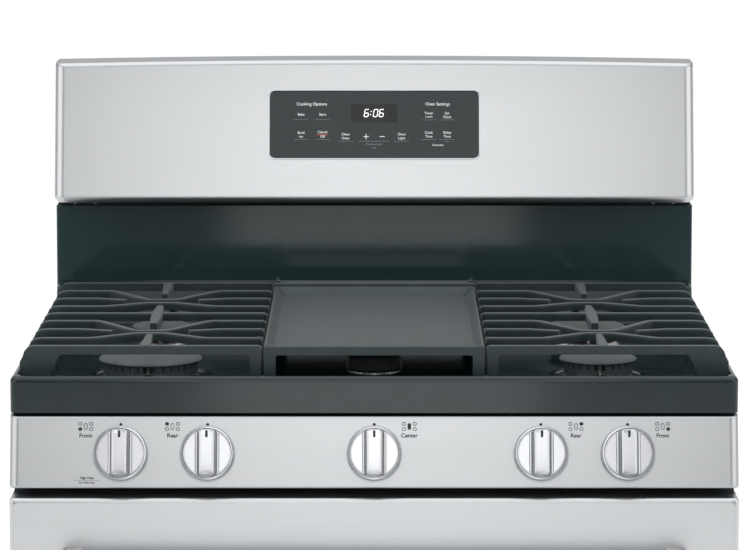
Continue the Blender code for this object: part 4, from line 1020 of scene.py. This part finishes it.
tray = lofted([
    tray_ring(0.0140, 0.0100, 0.0140, TRAY_FLOOR - 0.0024, 0.003),
    tray_ring(0.0120, 0.0080, 0.0120, TRAY_FLOOR - 0.0016, 0.003),
    tray_ring(0.0120, 0.0080, 0.0120, TRAY_FLOOR - 0.0003, 0.003),
    tray_ring(0.0004, 0.0, 0.0, TRAY_FLOOR - 0.0003, 0.003),
    tray_ring(0.0004, 0.0, 0.0, TRAY_RIM - 0.0012, 0.003),
    tray_ring(0.0006, 0.0004, 0.0004, TRAY_RIM - 0.0003, 0.003),
    tray_ring(0.0014, 0.0013, 0.0013, TRAY_RIM, 0.003),
    tray_ring(0.0040, 0.0024, 0.0270, TRAY_RIM, 0.004),
    tray_ring(0.0048, 0.0032, 0.0280, TRAY_RIM - 0.0006, 0.004),
    tray_ring(0.0070, 0.0088, 0.0395, TRAY_FLOOR + 0.0008, 0.006),
    tray_ring(0.0082, 0.0105, 0.0415, TRAY_FLOOR, 0.007)])
rear_lip = block((-TRAY_X, TRAY_REAR - 0.024, TRAY_FLOOR), (TRAY_X, TRAY_REAR, griddle_high.z - 0.0008),
                 0.0012, 3)
griddle = [tray, rear_lip]
foot, under = WELL + 0.0004, TRAY_RIM - 0.0085
LEG_X = 0.1036


def end_frame(front):
    """A band across the tray with a leg at each side, and round inner corners."""
    right = [(LEG_X, foot)] + arc((LEG_X - 0.003, under - 0.003), 0.003, 0, 90, 5)
    outside = [(-TRAY_X, foot), (-TRAY_X, TRAY_RIM - 0.0012), (-TRAY_X + 0.0012, TRAY_RIM),
               (TRAY_X - 0.0012, TRAY_RIM), (TRAY_X, TRAY_RIM - 0.0012), (TRAY_X, foot)]
    outline = right + [(-x, z) for x, z in right[::-1]] + outside
    return prism(outline, "Y", (front, front + 0.009))


griddle += [end_frame(TRAY_FRONT - 0.0003), end_frame(TRAY_REAR - 0.0087)]
nub_top = griddle_high.z + 0.002
for x in (-TRAY_X + 0.004, TRAY_X - 0.004):
    nub = turned([(0, TRAY_FLOOR), (0.003, TRAY_FLOOR), (0.003, griddle_high.z + 0.0008), (0.0015, nub_top),
                  (0, nub_top)], 16)
    griddle.append(moved(nub, Matrix.Translation((x, TRAY_REAR - 0.012, 0))))
part("griddle_casting", merged(griddle), griddle_coat, "griddle_plate", "griddle_coating", "griddle")

# %% [markdown]
# ## Control panel
#
# The panel is a stainless sheet that leans back 15 degrees, with its top and bottom folded in and its
# ends rolled over a wide radius that catches a bright line.

# %% Panel sheet

panel_low, panel_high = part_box("control_panel")
PANEL_LEAN = math.radians(15)
PANEL_TOP = Vector((0, -0.280, panel_high.z))
PANEL_DROP = Vector((0, -math.sin(PANEL_LEAN), -math.cos(PANEL_LEAN)))
PANEL_LENGTH = (panel_high.z - panel_low.z) / math.cos(PANEL_LEAN)
ON_PANEL = Matrix.Translation(PANEL_TOP) @ Matrix.Rotation(math.radians(90) - PANEL_LEAN, 4, "X")
panel_foot = PANEL_TOP + PANEL_DROP * PANEL_LENGTH
outline = [(panel_high.y, panel_high.z)]
outline += arc((PANEL_TOP.y + 0.0030, PANEL_TOP.z - 0.0026), 0.0026, 90, 180 - 15, 6)
outline += points_between(PANEL_TOP, panel_foot)
outline += arc((panel_foot.y + 0.0032, panel_foot.z + 0.0024), 0.0024, 165, 270, 6)
outline += [(panel_high.y, panel_low.z)]
PANEL_ROLL = 0.0100
panel = prism(outline, "X", across_stations(panel_high.x, PANEL_ROLL))
roll_ends(panel, panel_high.x, PANEL_ROLL, panel_high.y - 0.008)
part("control_panel_sheet", panel, panel_steel_painted_shade, "range_body", "stainless", "control_panel")

# %% [markdown]
# Beside each knob a small map shows the five burners, with the knob's own one filled in, over one word.
# A dot over the knob marks its off position.

# %% Burner maps and words on the panel

KNOBS = {name: (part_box(f"knob_{name}")[0].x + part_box(f"knob_{name}")[1].x) / 2
         for name in ("front_left", "rear_left", "center", "rear_right", "front_right")}
MAP = {"rear_left": (-5.7, 2.75), "rear_right": (5.7, 2.75), "front_left": (-5.7, -2.75),
       "front_right": (5.7, -2.75)}
MAP_OFFSET, MAP_DROP, WORD_DROP, DOT_DROP = 0.0365, 0.0104, 0.0200, 0.0084
PRINT = 0.00008


def printed(outer, inner=None):
    """A printed spot, or a ring when it has an inner outline."""
    if not inner:
        return prism(outer, "Z", (0.0, PRINT))
    loops = [[(*p, 0.0) for p in inner], [(*p, 0.0) for p in outer], [(*p, PRINT) for p in outer],
             [(*p, PRINT) for p in inner]]
    return looped(loops)


def disc(x, y, half_x, half_y, line):
    outer = [(x + half_x * px, y + half_y * py) for px, py in circle(1.0, 24)]
    inner = [(x + (half_x - line) * px, y + (half_y - line) * py) for px, py in circle(1.0, 24)]
    return printed(outer, inner if line else None)


def tall_spot(x, y, half_x, half_y, line):
    outer = [(x + px, y + py) for px, py in stadium(half_x, half_y)]
    inner = [(x + px, y + py) for px, py in stadium(half_x - line, half_y - line)]
    return printed(outer, inner if line else None)


marks, labels = [], []
for name, x in KNOBS.items():
    middle = x + (-MAP_OFFSET if "left" in name else MAP_OFFSET)
    for burner, (dx, dy) in MAP.items():
        line = 0.0 if burner == name else 0.0006
        marks.append(disc(middle + dx * MM, -MAP_DROP + dy * MM, 0.0021, 0.0019, line))
    marks.append(tall_spot(middle, -MAP_DROP, 0.0018, 0.0035, 0.0 if name == "center" else 0.0006))
    marks.append(disc(x, -DOT_DROP, 0.0016, 0.0016, 0.0))
    labels.append((name.split("_")[0].capitalize(), middle, -WORD_DROP, 4.2 * MM))
large = KNOBS["front_left"] - 34.8 * MM
labels += [("High Heat", large, -64.0 * MM, 2.5 * MM), ("for Wide Pans", large, -68.9 * MM, 2.0 * MM)]
marks.append(block((large - 13.8 * MM, -66.6 * MM, 0.0), (large + 13.8 * MM, -66.3 * MM, PRINT)))
part("burner_maps", moved(merged(marks), ON_PANEL), black_ink, "range_body", "stainless", flat=True)
part("burner_words", moved(lettering(labels, 0.00002, 0.035), ON_PANEL), black_ink, "range_body", "stainless",
     flat=True)

# %% [markdown]
# ## Knobs
#
# A knob is a zinc casting: a flat disc inside a round bead, and a grip bar across it with two steps on
# each side. The disc is turned. The bar is an outline across the grip, run along it, with its ends cut
# to the disc's curve. The bar is dished between two ridges, and a dark inlay on it is the pointer.

# %% One knob, placed five times

KNOB_R = 0.0283
LIFT = 0.0042
KNOB_DROP = 0.0385
GRIP_TOP = 0.0262
GRIP_STEPS = 10


def knob_disc():
    rim = LIFT + 0.0072
    profile = [(0, LIFT), (KNOB_R - 0.0018, LIFT), (KNOB_R - 0.0004, LIFT + 0.0008), (KNOB_R, LIFT + 0.0026),
               (KNOB_R, rim - 0.0010), (KNOB_R - 0.0003, rim - 0.0004), (KNOB_R - 0.0010, rim - 0.0001),
               (KNOB_R - 0.0026, rim), (KNOB_R - 0.0029, rim - 0.0003), (KNOB_R - 0.0031, rim - 0.0010),
               (KNOB_R - 0.0034, rim - 0.0011), (KNOB_R - 0.0037, rim - 0.0008),
               (KNOB_R - 0.0044, rim - 0.0008), (KNOB_R - 0.0047, rim - 0.0014), (0, rim - 0.0014)]
    return turned(profile, 96)


def knob_grip():
    low = LIFT + 0.004
    right = [(0.0129, low), (0.0129, low + 0.0016), (0.0119, low + 0.0028), (0.0109, low + 0.0035),
             (0.0103, low + 0.0036), (0.0098, low + 0.0033), (0.0094, low + 0.0050),
             (0.0089, GRIP_TOP - 0.0030), (0.0081, GRIP_TOP - 0.0013), (0.0072, GRIP_TOP - 0.0004),
             (0.0064, GRIP_TOP), (0.0056, GRIP_TOP - 0.0005)]
    outline = right + [(-x, z) for x, z in right[::-1]]
    rings = []
    for i in range(GRIP_STEPS + 1):
        t = 2 * i / GRIP_STEPS - 1
        ring = []
        for x, z in outline:
            reach = math.sqrt(max(0.0, (KNOB_R - 0.0036) ** 2 - x * x))
            fall = 0.0010 * (z - low) / (GRIP_TOP - low)
            ring.append((x, t * (reach - fall), z - 0.0006 * t * t * (z - low) / (GRIP_TOP - low)))
        rings.append(ring)
    return softened(lofted(rings), grip_end, 0.0007, 2)


def grip_end(edge):
    """The sharp edges round the two ends of the grip."""
    first, second = edge.verts
    if abs(abs(first.co.y) - abs(second.co.y)) >= 2.5e-3 or min(abs(first.co.y), abs(second.co.y)) <= 0.018:
        return False
    return len(edge.link_faces) == 2 and edge.calc_face_angle(0) > 1.0


def pointer_outline(inset):
    return rectangle((-0.0013 + inset, 0.0150 + inset), (0.0013 - inset, 0.0222 - inset), 0.0008, 3)


for name, x in KNOBS.items():
    place = ON_PANEL @ Matrix.Translation((x, -KNOB_DROP, 0))
    body = f"dial_{name}"
    knob = moved(merged([knob_disc(), knob_grip()]), place)
    part(f"knob_casting_{name}", knob, knob_metal, body, "knob_metal", f"knob_{name}", angle=28)
    pointer = stacked(pointer_outline, [(GRIP_TOP - 0.002, 0), (GRIP_TOP - 0.0005, 0),
                                        (GRIP_TOP - 0.0002, 0.0002)])
    part(f"knob_pointer_{name}", moved(pointer, place), black_ink, body, "knob_metal")

# %% [markdown]
# ## Door, handle and drawer
#
# The door skin is a stainless sheet with soft folded edges and a large dark window. The drawer below
# repeats it. Both are boxes with a bevel, which is exactly what a folded edge is; the window is a
# glass that stands a hair proud of the steel, with a rounded outline.

# %% Door skin, window and drawer front

door_low, door_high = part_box("door_skin")
FRONT_FOLD, FRONT_CORNER = 0.005, 0.004


def folded_front(low, high, radius):
    """A sheet whose edges are folded back in a quarter round."""
    rings = [[(x, high.y, z) for x, z in rectangle((low.x, low.z), (high.x, high.z), FRONT_CORNER, 4)]]
    for step in range(7):
        angle = math.radians(90 * step / 6)
        inset = radius * (1 - math.cos(angle))
        y = low.y + radius * (1 - math.sin(angle))
        outline = rectangle((low.x + inset, low.z + inset), (high.x - inset, high.z - inset), FRONT_CORNER, 4)
        rings.append([(x, y, z) for x, z in outline])
    return lofted(rings)


part("door_face", folded_front(door_low, door_high, FRONT_FOLD), stainless, "door", "stainless", "door_skin")
pane_low, pane_high = Vector((-0.262, 0.338)), Vector((0.262, 0.632))


def window_outline(inset):
    return rectangle(pane_low + Vector((inset, inset)), pane_high - Vector((inset, inset)), 0.016, 8)


window = stacked(window_outline, [(0.0, 0.0), (0.0016, 0.0), (0.0022, 0.0006)])
in_door = Matrix.Translation((0, door_low.y + 0.0008, 0)) @ Matrix.Rotation(math.radians(90), 4, "X")
part("door_window", moved(window, in_door), door_glass, "door", "black_glass", "door_glass")
drawer_low, drawer_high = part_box("drawer_front")
part("drawer_face", folded_front(drawer_low, drawer_high, FRONT_FOLD), stainless, "drawer", "stainless",
     "drawer_front")

# %% [markdown]
# The handle is an extruded tube between two cast end posts. The tube is swept; each post is a rounded
# block that widens towards the door, as a casting does where it is screwed on.

# %% Handle

handle_low, handle_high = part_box("door_handle")
bar_y = handle_low.y + 0.0115
bar_z = (handle_low.z + handle_high.z) / 2
tube = [swept(circle(0.0112, 28), [(handle_low.x + 0.004, bar_y, bar_z), (0, bar_y, bar_z),
                                   (handle_high.x - 0.004, bar_y, bar_z)])]
for side in (-1, 1):
    x = side * (handle_high.x - 0.013)
    rings = []
    for t in (0.0, 0.08, 0.35, 0.65, 0.85, 0.97, 1.0):
        y = door_low.y - 0.0004 + (handle_low.y - door_low.y + 0.001) * t
        half_x = 0.0125 - 0.0010 * t - (0.003 if t == 1.0 else 0.0)
        half_z = 0.0175 - 0.0050 * t - (0.003 if t == 1.0 else 0.0)
        outline = rectangle((x - half_x, bar_z - half_z), (x + half_x, bar_z + half_z), 0.0065, 6)
        rings.append([(px, y, pz) for px, pz in outline])
    tube.append(lofted(rings))
part("handle_bar_and_posts", merged(tube), stainless, "door", "stainless", "door_handle")

# %% [markdown]
# ## Oven racks
#
# A rack is bent and welded from plated wire: a thick frame, thinner rods from front to back, and two
# cross rods under them. Every wire is a circle swept along its path.

# %% Racks

ROD = circle(0.0021, 10)
FRAME_R = 0.0028
FRAME_ROD = circle(FRAME_R, 12)
RACK_GAPS = 15
for name in ("lower", "upper"):
    low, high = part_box(f"oven_rack_{name}")
    z = high.z - FRAME_R
    corners = rectangle((low.x + FRAME_R, low.y + FRAME_R), (high.x - FRAME_R, high.y - FRAME_R), 0.015, 4)
    loop = [(x, y, z) for x, y in corners]
    wires = [swept(FRAME_ROD, loop + loop[:2])]
    for i in range(1, RACK_GAPS):
        x = low.x + (high.x - low.x) * i / RACK_GAPS
        wires.append(swept(ROD, [(x, y, z + 0.0002) for y in (low.y + 0.004, 0, high.y - 0.004)]))
    for y in (-0.072, 0.081):
        wires.append(swept(FRAME_ROD, [(x, y, z - 0.0020) for x in (low.x + 0.004, 0, high.x - 0.004)]))
    part(f"wire_rack_{name}", merged(wires), chrome, f"{name}_rack", "chrome_wire", f"oven_rack_{name}")

# %% [markdown]
# ## Back, sides and the parts inside
#
# These parts already have their true shape in the engineering model, so they only get their real
# finish. Hex-head screws hold the rear sheets: a row along the top and bottom of each, and three more
# down both side edges of the lower one.

# %% Rear screws


def hex_screw(radius, height):
    washer = turned([(0, 0), (radius * 1.5, 0), (radius * 1.5, height * 0.2), (0, height * 0.25)], 24)
    layers = [(0, 0), (height * 0.85, 0), (height, radius * 0.2)]
    head = stacked(lambda inset: circle(radius - inset, 6), layers)
    return merged([washer, head])


BACK = Matrix.Rotation(math.radians(-90), 4, "X")
rear_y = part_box("rear_panel")[1].y - 0.0001
places = [(x, z) for x in (-0.366, -0.122, 0.122, 0.366) for z in (0.058, 0.915)]
places += [(x, z) for x in (-0.366, 0.366) for z in (0.27, 0.49, 0.70)]
places += [(x, z) for x in (-0.366, 0.0, 0.366) for z in (0.945, 1.165)]
screws = [moved(hex_screw(0.0034, 0.003), Matrix.Translation((x, rear_y, z)) @ BACK) for x, z in places]
part("rear_hex_screws", merged(screws), zinc, "range_body", "galvanised_steel")

# %% Finishes of the parts that keep their shape

KEPT = {
    side_paint: ("side_panel_left", "side_panel_right"),
    zinc: ("rear_panel", "backguard_rear_cover", "base_pan", "drawer_rail_left", "drawer_rail_right",
           "gas_manifold", "gas_pipe", "door_hinge_left", "door_hinge_right", "drawer_pan", "bake_burner",
           "broil_burner"),
    frame_enamel: ("front_frame",),
    oven_enamel: ("oven_liner", "oven_floor", "door_liner"),
    rope: ("door_gasket",),
    door_glass: ("door_inner_glass",),
    lamp_cover: ("oven_lamp",),
    brass: ("pressure_regulator",) + tuple(f"valve_stem_{name}" for name in KNOBS),
    nylon: tuple(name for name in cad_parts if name.startswith("leveling_leg")),
}
for material, names in KEPT.items():
    for name in names:
        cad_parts[name].material_slots[0].material = material
    print(material.name, len(names), "parts")

# %% [markdown]
# ## Studio
#
# A pale floor runs far behind the range, so that it fills the view. The sky of the studio is brightest
# overhead and darker at the horizon, which lights the tops of the bars more than their faces. Only
# the lit surfaces see that sky: the camera sees plain white paper in its place. A tall panel stands
# behind the camera and draws the soft band down the middle of the enamel, a wide one over it
# brightens the middle of the steel, and one at each side whitens the rolled ends.

# %% Floor

floor = bmesh.new()
bmesh.ops.create_grid(floor, x_segments=2, y_segments=2, size=60.0)
moved(floor, Matrix.Translation((0, 53.0, -0.0002)))
floor_data = bpy.data.meshes.new("studio_floor")
floor.to_mesh(floor_data)
floor.free()
floor_paint, tree, shader = finish("matt_white_floor_paint", "#FBFBFB", 0.9, Specular_IOR_Level=0.1)
scuffs = tint(tree, grain(tree, 900.0).outputs["Fac"], "#FAFAFA", "#FDFDFD")
tree.links.new(scuffs, shader.inputs["Base Color"])
floor_data.materials.append(floor_paint)
studio_floor = bpy.data.objects.new("studio_floor", floor_data)
bpy.context.scene.collection.objects.link(studio_floor)

# %% Lights and surroundings


def panel_light(name, place, target, size, radiance):
    """A panel that looks equally bright whatever its size."""
    data = bpy.data.lights.new(name, "AREA")
    data.shape = "RECTANGLE"
    data.size, data.size_y = size
    data.energy = radiance * math.pi * size[0] * size[1]
    lamp = bpy.data.objects.new(name, data)
    way = Vector(target) - Vector(place)
    lamp.matrix_world = Matrix.Translation(place) @ way.to_track_quat("-Z", "Y").to_matrix().to_4x4()
    lamp.visible_camera = False
    bpy.context.scene.collection.objects.link(lamp)


panel_light("strip_behind_camera", (0, -4.6, 0.75), (0, 0, 0.75), (0.74, 1.5), 1.35)
panel_light("wide_faint_panel", (0, -4.6, 2.7), (0, 0, 1.0), (1.2, 1.8), 2.0)
for name, side in (("left", -1), ("right", 1)):
    panel_light(f"side_panel_light_{name}", (side * 4.2, -1.9, 2.3), (0, 0, 1.2), (4.6, 2.8), 1.1)
world = bpy.data.worlds.new("even_studio")
world.use_nodes = True
sky = world.node_tree
way = add(sky, "ShaderNodeTexCoord").outputs["Generated"]
height = add(sky, "ShaderNodeSeparateXYZ", {"Vector": way}).outputs["Z"]
dome = add(sky, "ShaderNodeValToRGB", {"Fac": spread(sky, height, 0.5, 1.0)})
for position, level in ((0.499, 0.10), (0.503, 0.32), (0.77, 0.33), (0.94, 1.0)):
    stop = dome.color_ramp.elements.new(position)
    stop.color = (0.985 * level, 0.995 * level, level, 1.0)
for spare in (dome.color_ramp.elements[-1], dome.color_ramp.elements[0]):
    dome.color_ramp.elements.remove(spare)
sky_light = sky.nodes["Background"]
sky.links.new(dome.outputs["Color"], sky_light.inputs["Color"])
sky_light.inputs["Strength"].default_value = 1.66
# The camera's own rays see white paper, and every other ray sees the sky.
paper = add(sky, "ShaderNodeBackground", {"Color": (1, 1, 1, 1), "Strength": 1.2})
both = add(sky, "ShaderNodeMixShader", {"Fac": add(sky, "ShaderNodeLightPath").outputs["Is Camera Ray"]})
sky.links.new(sky_light.outputs["Background"], both.inputs[1])
sky.links.new(paper.outputs["Background"], both.inputs[2])
sky.links.new(both.outputs["Shader"], sky.nodes["World Output"].inputs["Surface"])
bpy.context.scene.world = world
bpy.context.scene.view_settings.view_transform = "Standard"

# %% [markdown]
# The camera stands 4 m in front of the range at about eye height, and looks down 8.3 degrees through
# a long lens.

# %% Camera

LOOK_DOWN = 8.289
lens = bpy.data.cameras.new("camera")
lens.lens = 174.32
lens.sensor_width = 36.0
lens.clip_end = 300.0
camera = bpy.data.objects.new("camera", lens)
camera.location = (0.0008, -3.9973, 1.5655)
camera.rotation_euler = (math.radians(90 - LOOK_DOWN), 0.0, 0.0)
bpy.context.scene.collection.objects.link(camera)
bpy.context.scene.camera = camera
